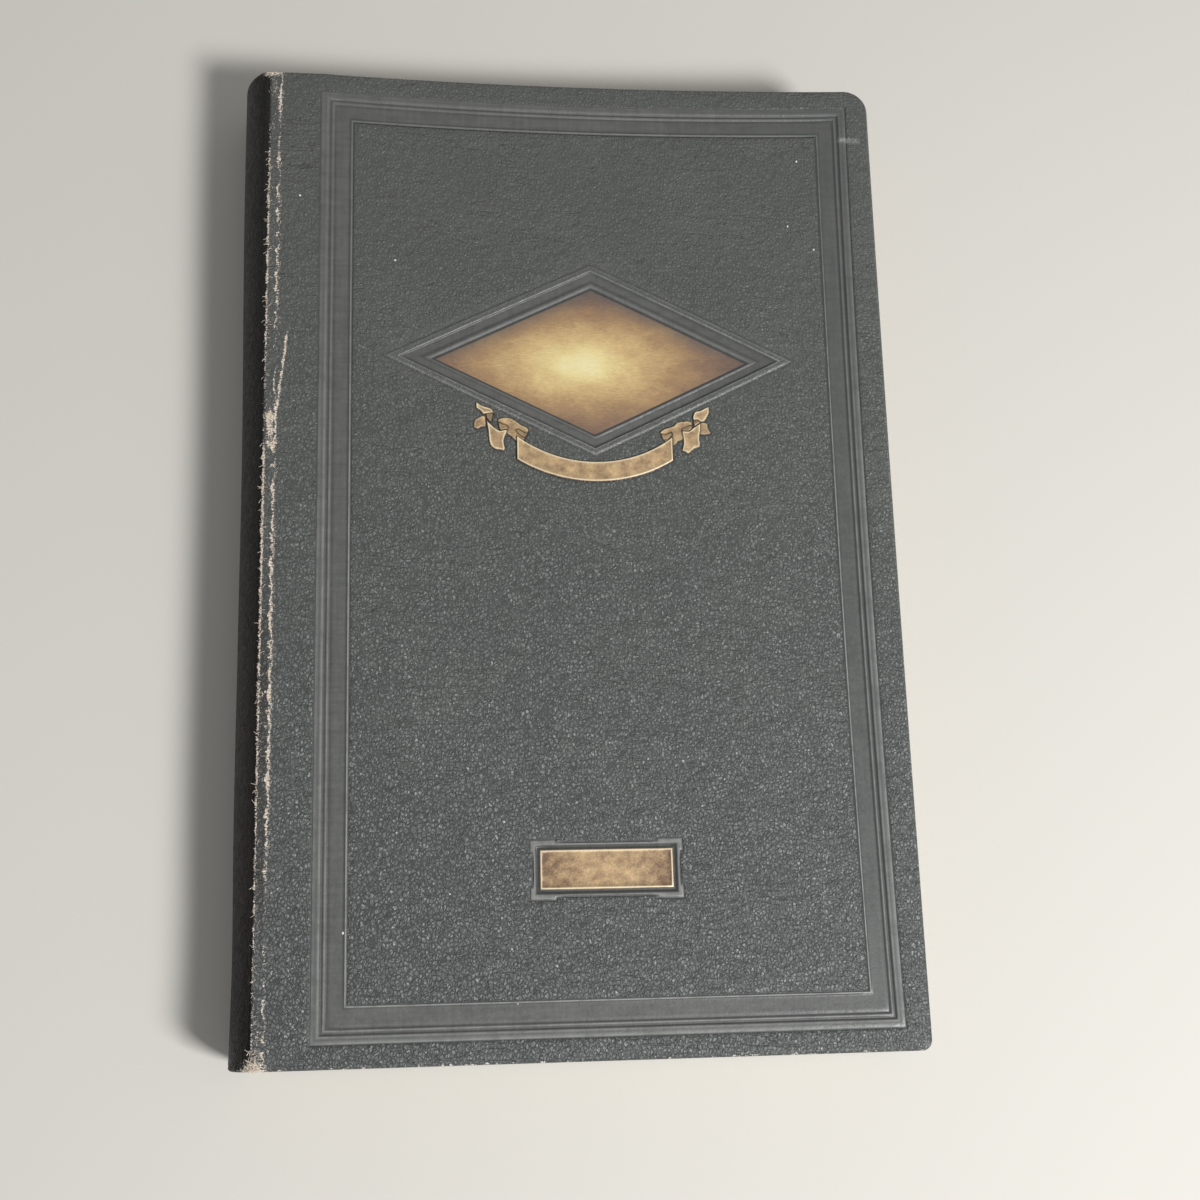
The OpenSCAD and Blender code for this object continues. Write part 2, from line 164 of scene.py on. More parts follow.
DIAMOND_STEPS = np.array([
    (-3.6, 0), (-3.1, -0.02), (-2.75, -0.07), (-2.52, -0.04), (-2.36, 0.08), (-2.2, 0.18), (-2.0, 0.22),
    (-1.5, 0.23), (-1.05, 0.26), (-0.86, 0.26), (-0.72, 0.19), (-0.56, 0.05), (-0.4, -0.08), (-0.2, -0.16),
    (0.1, -0.19), (1.3, -0.17), (1.7, -0.19), (1.92, -0.15), (2.1, -0.02), (2.3, 0.08), (2.52, 0.1),
    (2.72, 0.05), (2.92, -0.08), (3.12, -0.18), (3.3, -0.21), (3.5, -0.21), (3.8, -0.2),
    (4.2, -0.19), (8.0, -0.17),
])
FRAME_STEPS = np.array([
    (-0.1, 0), (0.2, -0.04), (0.42, -0.05), (0.56, 0.04), (0.7, 0.17), (0.88, 0.25), (1.15, 0.27),
])
PLATE_STEPS = np.array([
    (-0.85, 0.27), (-0.52, 0.26), (-0.34, 0.18), (-0.18, 0.02), (0.0, -0.12), (0.22, -0.17), (0.5, -0.16),
    (0.68, -0.06), (0.8, 0.1), (0.94, 0.25), (1.1, 0.3), (1.28, 0.26), (1.45, 0.18), (1.65, 0.14),
    (2.2, 0.12), (3.0, 0.12),
])
TAIL_SLIP = 0.45                       # the border's innermost line lies this much further in at the tail


def border_in(x, y):
    """Distance inwards from the outer edge of the border."""
    left, right, tail, head = BORDER
    up = y - tail
    up = up - TAIL_SLIP * smooth((up - 4.8) / 2.6)
    return np.minimum(np.minimum(x - left, right - x), np.minimum(up, head - y))


def border_ring(inset):
    """One contour of the border, as a rectangle."""
    left, right, tail, head = BORDER
    low = tail + inset + TAIL_SLIP * float(smooth((inset - 4.8) / 2.15))
    return [(left + inset, low), (right - inset, low), (right - inset, head - inset), (left + inset, head - inset)]


def diamond_centre(inset):
    """Height on the cover of the centre of the diamond's line at a distance inwards: the gilt sits low."""
    return DIAMOND_Y - GILT_DROP * smooth((np.asarray(inset) - 0.8) / 3.4)


def diamond_in(x, y):
    """Distance inwards from the foot of the diamond's outer lip."""
    inradius = DIAMOND_W * DIAMOND_H / math.hypot(DIAMOND_W, DIAMOND_H)
    inset = 0.0
    for _ in range(4):
        off = np.abs(y - diamond_centre(inset))
        inset = inradius * (1 - np.abs(x - PANEL_X) / DIAMOND_W - off / DIAMOND_H)
    return inset


def outline_in(x, y, ring):
    """Distance inwards from a closed ring of points, negative outside it."""
    p = np.stack([np.ravel(x), np.ravel(y)], 1)
    a, b = np.asarray(ring, float), np.roll(np.asarray(ring, float), -1, 0)
    best = np.full(len(p), 1e9)
    inside = np.zeros(len(p), bool)
    for s, e in zip(a, b):
        d = e - s
        t = np.clip(((p - s) @ d) / (d @ d), 0, 1)
        best = np.minimum(best, np.linalg.norm(p - s - t[:, None] * d, axis=1))
        crosses = (s[1] > p[:, 1]) != (e[1] > p[:, 1])
        with np.errstate(divide="ignore", invalid="ignore"):
            at = s[0] + (p[:, 1] - s[1]) * d[0] / d[1]
        inside ^= crosses & (p[:, 0] < at)
    return np.where(inside, best, -best).reshape(np.shape(x))


def rectangle(w, h, cx, cy, out=0.0):
    w, h = w / 2 + out, h / 2 + out
    return [(cx - w, cy - h), (cx + w, cy - h), (cx + w, cy + h), (cx - w, cy + h)]


def label_ring():
    """Outline of the label's frame: a rectangle with an ear at each corner."""
    w, h, el, es, out = 20.2, 8.1, 7.6, 4.2, 0.8
    quarter = [(w, h - es), (w, h), (w - el, h), (w - el, h - out)]
    side = [(w - out, h - es)]
    right = side + quarter
    ring = [(x, y) for x, y in right] + [(-x, y) for x, y in reversed(right)]
    ring += [(-x, -y) for x, y in right] + [(x, -y) for x, y in reversed(right)]
    return [(PANEL_X + x, LABEL_Y + y) for x, y in ring]


def curved(points, steps=4):
    """A closed ring through the points, rounded between them where they aren't marked as sharp."""
    n, ring = len(points), []
    for i in range(n):
        p0, p1, p2, p3 = (np.array(points[(i + k) % n][:2], float) for k in (-1, 0, 1, 2))
        s1, s2 = len(points[i]) > 2, len(points[(i + 1) % n]) > 2
        m1 = (p2 - p0) / 2 if not s1 else (p2 - p1)
        m2 = (p3 - p1) / 2 if not s2 else (p2 - p1)
        for k in range(steps):
            t = k / steps
            ring.append(tuple((2 * t ** 3 - 3 * t ** 2 + 1) * p1 + (t ** 3 - 2 * t ** 2 + t) * m1
                              + (-2 * t ** 3 + 3 * t ** 2) * p2 + (t ** 3 - t ** 2) * m2))
    return ring


# Lengths of the ribbon beside its middle, from the back to the front: height, then the outline on the right and
# on the left, in hundredths of the ribbon's width outwards and upwards from the middle's upper corner
RIBBON_PARTS = {
    "lower_tip": (0.20, [(140, 75), (166, 76), (180, 69), (182, 49), (191, 33), (196, 24, 1), (188, 16), (163, 14),
                         (140, 17), (140, 46)],
                  [(205, 37, 1), (202, 66), (193, 82), (173, 94), (154, 98), (146, 76), (148, 44), (168, 41),
                   (184, 30, 1)]),
    "strip": (0.28, [(-59, 16), (-55, 28), (-36, 41), (-5, 51), (14, 60), (23, 71), (43, 80), (61, 80), (79, 83),
                     (98, 78), (104, 62), (100, 49), (70, 20), (48, -15), (29, -22), (13, -40), (-30, -45),
                     (-41, -2)],
              [(89, 76), (80, 85), (48, 91), (23, 87), (0, 71), (-27, 53), (-50, 41), (-59, 26), (-54, 12),
               (-41, -8), (-30, -40), (7, -24), (20, -11), (30, -2), (43, 7), (52, 25), (79, 30), (88, 62)]),
    "near_curl": (0.17, [(-54, 15, 1), (-37, 12), (-21, 17), (-4, 25, 1), (0, 10), (-10, 0), (-29, -10),
                         (-42, -17), (-50, -3)],
                  [(2, 28, 1), (-12, 31), (-27, 22), (-41, 14), (-55, 17, 1), (-49, 1), (-38, -9), (-20, 1),
                   (-5, 14)]),
    "far_curl": (0.18, [(49, 39), (62, 48), (84, 57), (99, 62, 1), (102, 49), (89, 33), (71, 30), (53, 33)],
                 [(87, 69, 1), (68, 57), (50, 53), (40, 37), (62, 28), (80, 32)]),
    "tip_curl": (0.18, [(114, 88), (133, 89), (146, 78), (130, 66), (116, 57, 1), (109, 78)],
                 [(142, 112), (118, 115), (111, 108), (116, 80), (119, 66, 1), (133, 76), (142, 92)]),
    "upper_tip": (0.33, [(191, 160, 1), (168, 149), (150, 139), (134, 135), (121, 132), (111, 117), (107, 98),
                         (112, 84), (120, 90), (133, 90), (145, 80), (166, 85), (182, 108), (191, 128)],
                  [(191, 171, 1), (173, 155), (155, 146), (138, 142), (123, 137), (113, 126), (109, 114),
                   (120, 112), (142, 110), (159, 107), (168, 119), (182, 132), (191, 139), (193, 155)]),
    "drape": (0.38, [(50, 32, 1), (71, 30), (89, 33), (109, 49), (129, 62), (145, 73, 1), (143, 37), (136, -2),
                     (138, -34), (134, -49), (114, -56), (98, -67), (79, -83), (61, -76), (46, -70, 1), (55, -34),
                     (54, -2)],
              [(146, 82, 1), (136, 69), (118, 51), (100, 35), (79, 24), (43, 30, 1), (46, 14), (55, -6), (61, -34),
               (55, -68, 1), (63, -77), (89, -72), (104, -70), (118, -58), (129, -38), (134, -4), (136, 28)]),
}


def ribbon_rings():
    """The ribbon's lengths from the back to the front: name, outline, height and side."""
    corner = RIBBON_RISE - math.sqrt(RIBBON_R ** 2 - RIBBON_HALF ** 2)
    shapes = []
    for name, (height, *outlines) in RIBBON_PARTS.items():
        for side, outline in zip((1, -1), outlines):
            ring = [(PANEL_X + side * (RIBBON_HALF + RIBBON_W * p[0] / 100),
                     DIAMOND_Y + corner + RIBBON_W * p[1] / 100, *p[2:]) for p in outline]
            shapes.append((name, curved(ring), height, side))
    arc = []
    for r, turn in ((RIBBON_R + RIBBON_W, 1), (RIBBON_R, -1)):
        end = math.asin(RIBBON_HALF / r)
        for i in range(45):
            a = turn * end * (2 * i / 44 - 1)
            arc.append((PANEL_X + r * math.sin(a), DIAMOND_Y + RIBBON_RISE - r * math.cos(a)))
    shapes.append(("middle", arc, 0.42, 0))
    return shapes


RIBBON_SHAPES = ribbon_rings()
LABEL_RING = label_ring()
CHANNEL = (35.8, 11.6)


def line_at(d, place, width):
    """A soft line where a distance passes a place."""
    return np.exp(-((d - place) / width) ** 2)


# Painted highlights on the crests, partly their own polish from hands and tables, and painted shade in the recesses:
# how much, how far inwards, and how broad
BORDER_SHEEN_SHADE = ((0.5, -0.05, 0.2), (0.35, 1.5, 0.2), (0.35, 2.86, 0.22), (0.75, 8.12, 0.16), (-0.4, 2.15, 0.2),
               (-0.4, 3.55, 0.2), (-0.4, -0.6, 0.25), (-0.35, 7.68, 0.2), (-0.4, 8.62, 0.22))
DIAMOND_SHEEN_SHADE = ((0.9, -0.84, 0.15), (0.6, -2.15, 0.16), (0.3, 2.7, 0.2), (-0.45, -0.25, 0.25), (-0.85, 3.32, 0.22),
                (-0.4, 1.8, 0.2), (-0.35, -2.75, 0.2))


def sheen_and_shade_lines(d, sheen_shade_table):
    return sum(amount * line_at(d, place, width) for amount, place, width in sheen_shade_table)


def relief(x, y):
    """Height of the embossing over the grained face, and how gilt and how smooth each place is, and its painted light
    and shade.

    Rubbed runs from -1, painted shade in a recess, to 1, a painted highlight on a crest that hands and tables have
    also worn to a polish. The gilt is painted thinner along the diamond's upper sides, as shade under its frame."""
    x, y = np.asarray(x, float), np.asarray(y, float)
    edge = border_in(x, y)
    h = np.interp(edge, *BORDER_STEPS.T) * (1 - 0.35 * smooth((y - 20) / 100) * smooth((20 - x) / 80))
    pressed = smooth((edge + 0.75) / 0.4) * smooth((8.75 - edge) / 0.3)
    rubbed = sheen_and_shade_lines(edge, BORDER_SHEEN_SHADE)
    d = diamond_in(x, y)
    h = h + np.interp(d, *DIAMOND_STEPS.T, left=0)
    pressed = np.maximum(pressed, smooth((d + 2.7) / 0.4) * (0.45 + 0.55 * smooth((d + 0.9) / 0.5)))
    pressed = np.maximum(pressed, 0.35 * smooth((d + 4.6) / 1.2))
    # painted shade: the gilt thins along the diamond's upper sides, shaded by its frame
    shaded = smooth((y - DIAMOND_Y) / 8 + 0.5) * smooth((8.0 - d) / 4.5)
    gilt = smooth((d - 3.4) / 0.4) * (1 - 0.5 * shaded)
    rubbed = rubbed + sheen_and_shade_lines(d, DIAMOND_SHEEN_SHADE)
    near = (np.abs(x - PANEL_X) < 36) & (np.abs(y - DIAMOND_Y + 24) < 15)
    if near.any():
        px, py = x[near], y[near]
        top, gold, sheen_shade = h[near], gilt[near], rubbed[near]
        for name, ring, height, side in RIBBON_SHAPES:
            e = outline_in(px, py, ring)
            over = smooth((e + 0.1) / 0.24)
            top = top * (1 - over) + (height + ribbon_lie(name, px, py, side, e)) * over
            top = top - 0.07 * smooth((e + 0.5) / 0.2) * (1 - smooth((e + 0.1) / 0.2))
            gold = np.maximum(gold, smooth((e + 0.04) / 0.16))
            # painted shade as a dark line round each length of the ribbon, a painted highlight along its rim, and
            # painted shadow over the curls that turn under
            sheen_shade = sheen_shade * (1 - smooth((e + 0.3) / 0.25)) - line_at(e, -0.05, 0.17)
            sheen_shade = sheen_shade + (1.0 if name in ("middle", "drape", "upper_tip") else 0.35) * line_at(e, 0.32, 0.16)
            if name in ("near_curl", "far_curl", "tip_curl"):
                sheen_shade = sheen_shade - 0.45 * smooth((e + 0.1) / 0.3)
        h[near], gilt[near], rubbed[near] = top, gold, sheen_shade
    lx, ly = np.abs(x - PANEL_X), np.abs(y - LABEL_Y)
    near = (lx < 23) & (ly < 11)
    if near.any():
        e = outline_in(x[near], y[near], LABEL_RING)
        r = np.minimum(CHANNEL[0] / 2 - lx[near], CHANNEL[1] / 2 - ly[near])
        frame_h = np.interp(e, *FRAME_STEPS.T, left=0)
        h[near] = np.where(r > -0.85, np.interp(r, *PLATE_STEPS.T), frame_h)
        pressed[near] = np.maximum(pressed[near], smooth((e - 0.1) / 0.4))
        gilt[near] = smooth((r - 0.72) / 0.15)
        # painted highlights on the frame's crest and the plate's rim, painted shade at the frame's foot and in the
        # channel round the plate
        sheen_shade = 0.4 * smooth((e - 0.6) / 0.25) * smooth((-0.3 - r) / 0.3) - 0.4 * line_at(e, 0.3, 0.22)
        rubbed[near] = sheen_shade - 0.9 * line_at(r, 0.25, 0.4) + 1.0 * line_at(r, 1.08, 0.2) - 0.25 * line_at(r, 1.75, 0.4)
    return h, gilt, np.maximum(pressed, gilt), np.clip(rubbed, -1, 1)


def ribbon_lie(name, x, y, side, e):
    """How a length of the ribbon rises and falls: creases, folds and rims."""
    out = np.abs(x - PANEL_X) - RIBBON_HALF
    up = y - DIAMOND_Y + 22.0
    if name == "middle":
        crease = line_at(out, -2.1, 0.3) * smooth((up + 6.3 + 0.1 * out) / 1.5) * 0.12
        bent = 0.12 * smooth((out + 1.6) / 1.6)
        return 0.07 * line_at(e, 0.35, 0.22) - crease + bent
    if name == "drape":
        return 0.08 * np.cos(3.3 * out + 0.6) - 0.05 * smooth((up + 1.5) / 2.5)
    if name == "strip":
        return 0.1 * np.cos(1.9 * (out - 0.4)) - 0.12 * line_at(out, 1.6, 0.9) * smooth((-up + 1.0) / 3)
    if name == "upper_tip":
        return 0.09 * np.sin(2.4 * (out - 5.5)) + 0.03 * line_at(e, 0.3, 0.2)
    if name == "lower_tip":
        return 0.07 * np.cos(2.6 * (out - 9.0) + 1.2 * up)
    return 0.04 * line_at(e, 0.35, 0.25)


# Meshes

class Shell:
    """Gathers faces by their corners, so that patches with a common edge are sewn together."""

    def __init__(self):
        self.at, self.points, self.faces = {}, [], []

    def corner(self, p):
        key = tuple(round(float(c), 4) for c in p)
        if key not in self.at:
            self.at[key] = len(self.points)
            self.points.append(key)
        return self.at[key]

    def face(self, corners):
        ids = []
        for p in corners:
            i = self.corner(p)
            if i not in ids:
                ids.append(i)
        if len(ids) > 2:
            self.faces.append(ids)

    def strip(self, row, other):
        for i in range(len(row) - 1):
            self.face((row[i], row[i + 1], other[i + 1], other[i]))

    def loft(self, rows):
        for row, other in zip(rows, rows[1:]):
            self.strip(row, other)

    def bar(self, rows):
        """A loft of closed rows, capped at both ends."""
        self.loft(rows)
        self.face(rows[0][:-1])
        self.face(rows[-1][:-1])


def mesh_object(name, points, faces, material, smooth_angle=40):
    """A closed mesh with its faces outwards, in metres, that remembers where each point lies at rest."""
    mesh = bpy.data.meshes.new(name)
    mesh.from_pydata([tuple(c * MM for c in p) for p in points], [], faces)
    work = bmesh.new()
    work.from_mesh(mesh)
    bmesh.ops.recalc_face_normals(work, faces=work.faces)
    open_edges = sum(1 for e in work.edges if not e.is_manifold)
    if open_edges:
        print(f"{name}: {open_edges} open edges")
    bmesh.ops.triangulate(work, faces=[f for f in work.faces if len(f.verts) > 4])
    work.to_mesh(mesh)
    work.free()
    mesh.shade_smooth()
    mesh.set_sharp_from_angle(angle=math.radians(smooth_angle))
    remember_places(mesh)
    mesh.materials.append(material)
    return put_in_scene(name, mesh)


def remember_places(mesh):
    """Stores each point's place at rest, so a pattern stays on the leather when the joint bends it."""
    co = np.zeros(len(mesh.vertices) * 3, np.float32)
    mesh.vertices.foreach_get("co", co)
    mesh.attributes.new("place", "FLOAT_VECTOR", "POINT").data.foreach_set("vector", co)


def paint(piece, name, values):
    """Stores one number for each point of a piece."""
    piece.data.attributes.new(name, "FLOAT", "POINT").data.foreach_set("value", np.asarray(values, np.float32))


HEAD_STEPS, CORNER_STEPS, FORE_STEPS = 42, 8, 66


def cover_ring(inset):
    """Outline of a cover from the crease at the head, round the fore-edge, to the crease at the tail."""
    head, tail = max(inset + 0.05, HEAD_R), max(inset + 0.05, TAIL_R)
    x1, y1 = FORE_X - inset, HALF_H - inset
    ring = [(CREASE_X + (FORE_X - head - CREASE_X) * i / HEAD_STEPS, y1) for i in range(HEAD_STEPS)]
    for i in range(CORNER_STEPS):
        a = math.pi / 2 * (1 - i / CORNER_STEPS)
        ring.append((FORE_X - head + (head - inset) * math.cos(a), HALF_H - head + (head - inset) * math.sin(a)))
    y0, y2 = HALF_H - head, tail - HALF_H
    ring += [(x1, y0 + (y2 - y0) * i / FORE_STEPS) for i in range(FORE_STEPS)]
    for i in range(CORNER_STEPS):
        a = -math.pi / 2 * i / CORNER_STEPS
        ring.append((FORE_X - tail + (tail - inset) * math.cos(a), tail - HALF_H + (tail - inset) * math.sin(a)))
    x0 = FORE_X - tail
    ring += [(x0 + (CREASE_X - x0) * i / HEAD_STEPS, -y1) for i in range(HEAD_STEPS + 1)]
    return ring


def resampled(ring, gap):
    """A closed ring with points no further than gap apart."""
    out = []
    for a, b in zip(ring, ring[1:] + ring[:1]):
        n = max(1, math.ceil(math.dist(a, b) / gap))
        out += [(a[0] + (b[0] - a[0]) * i / n, a[1] + (b[1] - a[1]) * i / n) for i in range(n)]
    return out


def moved_in(ring, distance):
    """A closed ring moved inwards, with mitred corners."""
    area = sum(a[0] * b[1] - b[0] * a[1] for a, b in zip(ring, ring[1:] + ring[:1]))
    turn = 1 if area > 0 else -1
    out, n = [], len(ring)
    for i in range(n):
        p0, p1, p2 = (np.array(ring[(i + k) % n]) for k in (-1, 0, 1))
        u, v = (p1 - p0) / np.linalg.norm(p1 - p0), (p2 - p1) / np.linalg.norm(p2 - p1)
        nu, nv = np.array((-u[1], u[0])) * turn, np.array((-v[1], v[0])) * turn
        m = nu + nv
        m = m / max(m @ m / 2, 0.5)
        out.append(tuple(p1 + m * distance))
    return out


def diamond_ring(inset):
    inradius = DIAMOND_W * DIAMOND_H / math.hypot(DIAMOND_W, DIAMOND_H)
    k, y = 1 - inset / inradius, float(diamond_centre(inset))
    return [(PANEL_X + DIAMOND_W * k, y), (PANEL_X, y + DIAMOND_H * k),
            (PANEL_X - DIAMOND_W * k, y), (PANEL_X, y - DIAMOND_H * k)]


def face_points():
    """Contours of the embossing, and loose points between them, for the face of the front cover."""
    rings = [resampled(border_ring(d), 4.0) for d, _ in BORDER_STEPS]
    rings += [resampled(diamond_ring(d), 3.0) for d, _ in DIAMOND_STEPS]
    rings += [resampled(moved_in(LABEL_RING, d), 2.5) for d, _ in FRAME_STEPS]
    rings += [resampled(rectangle(*CHANNEL, PANEL_X, LABEL_Y, -d), 2.5) for d, _ in PLATE_STEPS]
    for name, ring, _, _ in RIBBON_SHAPES:
        rings += [moved_in(ring, d) for d in (-0.5, -0.2, -0.06, 0.06, 0.2, 0.33, 0.48, 0.75)]
    return rings


def triangles(boundary, rings, loose):
    """Triangles inside a convex boundary that keep every ring as edges."""
    points = [Vector(p) for p in boundary]
    edges = [(i, (i + 1) % len(boundary)) for i in range(len(boundary))]
    for ring in rings:
        start = len(points)
        points += [Vector(p) for p in ring]
        edges += [(start + i, start + (i + 1) % len(ring)) for i in range(len(ring))]
    tree = kdtree.KDTree(len(points))
    for i, p in enumerate(points):
        tree.insert((p.x, p.y, 0), i)
    tree.balance()
    for x, y, gap in loose:
        if tree.find((x, y, 0))[2] > gap:
            points.append(Vector((x, y)))
    flat = [tuple(p) for p in boundary] + [tuple(p) for ring in rings for p in ring]
    found = geometry.delaunay_2d_cdt(points, edges, [list(range(len(boundary)))], 1, 1e-5)
    places = [flat[was[0]] if was and was[0] < len(flat) else tuple(p) for p, was in zip(found[0], found[3])]
    return np.array(places, float), [tuple(f) for f in found[2]]


def grid(x0, x1, y0, y1, step, gap, offset=0.5):
    """Loose points in staggered rows."""
    rows = int((y1 - y0) / step)
    out = []
    for j in range(rows + 1):
        y = y0 + (y1 - y0) * j / rows
        shift = step * offset * (j % 2)
        x = x0 + shift
        while x <= x1:
            out.append((x, y, gap))
            x += step
    return out


ROLL = [0, 16, 32, 48, 64, math.degrees(math.acos(1 - LEATHER_T / EDGE_R)), 90]
SIDE_ROWS = 68


def cover_levels():
    """Insets and depths of the rings round a cover, from its face round the edge to the board inside."""
    roll = [(EDGE_R * (1 - math.sin(math.radians(a))), EDGE_R * (1 - math.cos(math.radians(a)))) for a in ROLL]
    under = [(i, TURNED - d) for i, d in reversed(roll)]
    turn_in = [(5.0, TURNED), (10.0, TURNED), (TURN_W - 0.6, TURNED), (TURN_W - 0.1, TURNED - 0.12),
               (TURN_W, BOARD_IN)]
    board = [(10.0, BOARD_IN), (5.0, BOARD_IN), (LEATHER_T, BOARD_IN), (LEATHER_T, LEATHER_T)]
    return roll, [(0.0, TURNED / 2)] + under + turn_in + board


def cover_leather(face, bend_rows=12):
    """Leather over one board, rolled round its three free edges and turned in, with the tongue of the joint.

    face(x, y) gives the height of the outer face over the flat, and the shift of the whole cover there."""
    shell = Shell()
    roll, rest = cover_levels()

    def put(x, y, depth):
        return (x, y, BOOK_T - depth + float(face(x, y)[1]))

    def ring(inset, depth):
        return [put(x, y, depth) for x, y in cover_ring(inset)]

    rings = [ring(*level) for level in roll + rest]
    shell.loft(rings)
    # outer face with its relief
    top_y = [(HALF_H - EDGE_R) * (2 * i / SIDE_ROWS - 1) for i in range(SIDE_ROWS + 1)]
    boundary = cover_ring(EDGE_R) + [(CREASE_X, y) for y in top_y[1:-1]]
    rings_in, loose = face(None, None)
    flat, tris = triangles(boundary, rings_in, loose)
    lift, shift = face(flat[:, 0], flat[:, 1])
    z = BOOK_T + lift + shift
    for t in tris:
        shell.face([(flat[i, 0], flat[i, 1], z[i]) for i in t])
    # inner face of the sheet over the board
    low_y = [(HALF_H - LEATHER_T) * (2 * i / SIDE_ROWS - 1) for i in range(SIDE_ROWS + 1)]
    boundary = cover_ring(LEATHER_T) + [(CREASE_X, y) for y in low_y[1:-1]]
    flat, tris = triangles(boundary, [], grid(CREASE_X + 5, FORE_X - 5, -HALF_H + 5, HALF_H - 5, 6.0, 2.5))
    shift = face(flat[:, 0], flat[:, 1])[1]
    for t in tris:
        shell.face([(flat[i, 0], flat[i, 1], BOOK_T - LEATHER_T + shift[i]) for i in t])
    # tongue from the crease to the seam, and the ends of the turn-ins beside it
    part = [level for level in roll if level[1] <= LEATHER_T + 1e-6]
    bend = [BEND_X + (CREASE_X - BEND_X) * i / bend_rows for i in range(bend_rows + 1)]
    columns = [SEAM_X, (SEAM_X + BEND_X) / 2] + bend
    low = [-(HALF_H - part[-1][0])] + low_y + [HALF_H - part[-1][0]]

    def tongue(x):
        out = [put(x, y, 0) for y in top_y]
        out += [put(x, HALF_H - i, d) for i, d in part[1:]]
        out += [put(x, y, LEATHER_T) for y in reversed(low[:-1])]
        out += [put(x, i - HALF_H, d) for i, d in reversed(part[1:-1])]
        return out + out[:1]

    shell.loft([tongue(x) for x in columns])
    shell.face(tongue(columns[0]))
    for side in (1, -1):
        hook = [put(CREASE_X, side * (HALF_H - i), d) for i, d in [part[-1]] + [roll[-1]] + rest]
        shell.face(hook)
    return shell


# Finishes

def finish(name, bends=False):
    """A new material, the function that adds its nodes, and the places on its piece in millimetres.

    A piece that bends at a joint remembers its places at rest, and any other reads its own coordinates."""
    material = bpy.data.materials.new(name)
    material.use_nodes = True
    add = nodes_of(material.node_tree)
    place = add("Attribute", attribute_name="place") if bends else add("TexCoord")
    return material, add, add("VectorMath", place.outputs["Vector" if bends else "Object"], 1000.0,
                              operation="SCALE")


def surfaced(material, inputs):
    """The material, once its surface shader has its inputs."""
    feed(material.node_tree.nodes["Principled BSDF"], inputs)
    return material


def toned(ramp, *stops):
    """A colour ramp with its stops in order, each a place and a colour."""
    elements = ramp.color_ramp.elements
    elements[0].position, elements[1].position = stops[0][0], stops[-1][0]
    for place, _ in stops[1:-1]:
        elements.new(place)
    for element, (_, colour) in zip(elements, stops):
        element.color = linear(colour) if isinstance(colour, str) else (*colour, 1.0)
    return ramp


def product(add, *factors):
    """All the factors multiplied, held between 0 and 1."""
    result = factors[0]
    for factor in factors[1:]:
        result = add("Math", result, factor, operation="MULTIPLY", use_clamp=True)
    return result


def coated(add, colour, *coats):
    """A colour with coats over it, each the share of it that covers and its own colour."""
    for share, over in coats:
        colour = add("Mix", share, colour, over, data_type="RGBA")
    return colour


def speckle(add, at, scale, detail=3.0, rough=0.6):
    """Noise over the leather, stretched by a scale for each direction, per millimetre."""
    place = add("VectorMath", at, scale, operation="MULTIPLY")
    return add("TexNoise", place, 1.0, detail, rough)


def apart(add, value, place):
    """How far a value is from a place, either way."""
    return add("Math", add("Math", value, place, operation="SUBTRACT"), operation="ABSOLUTE")


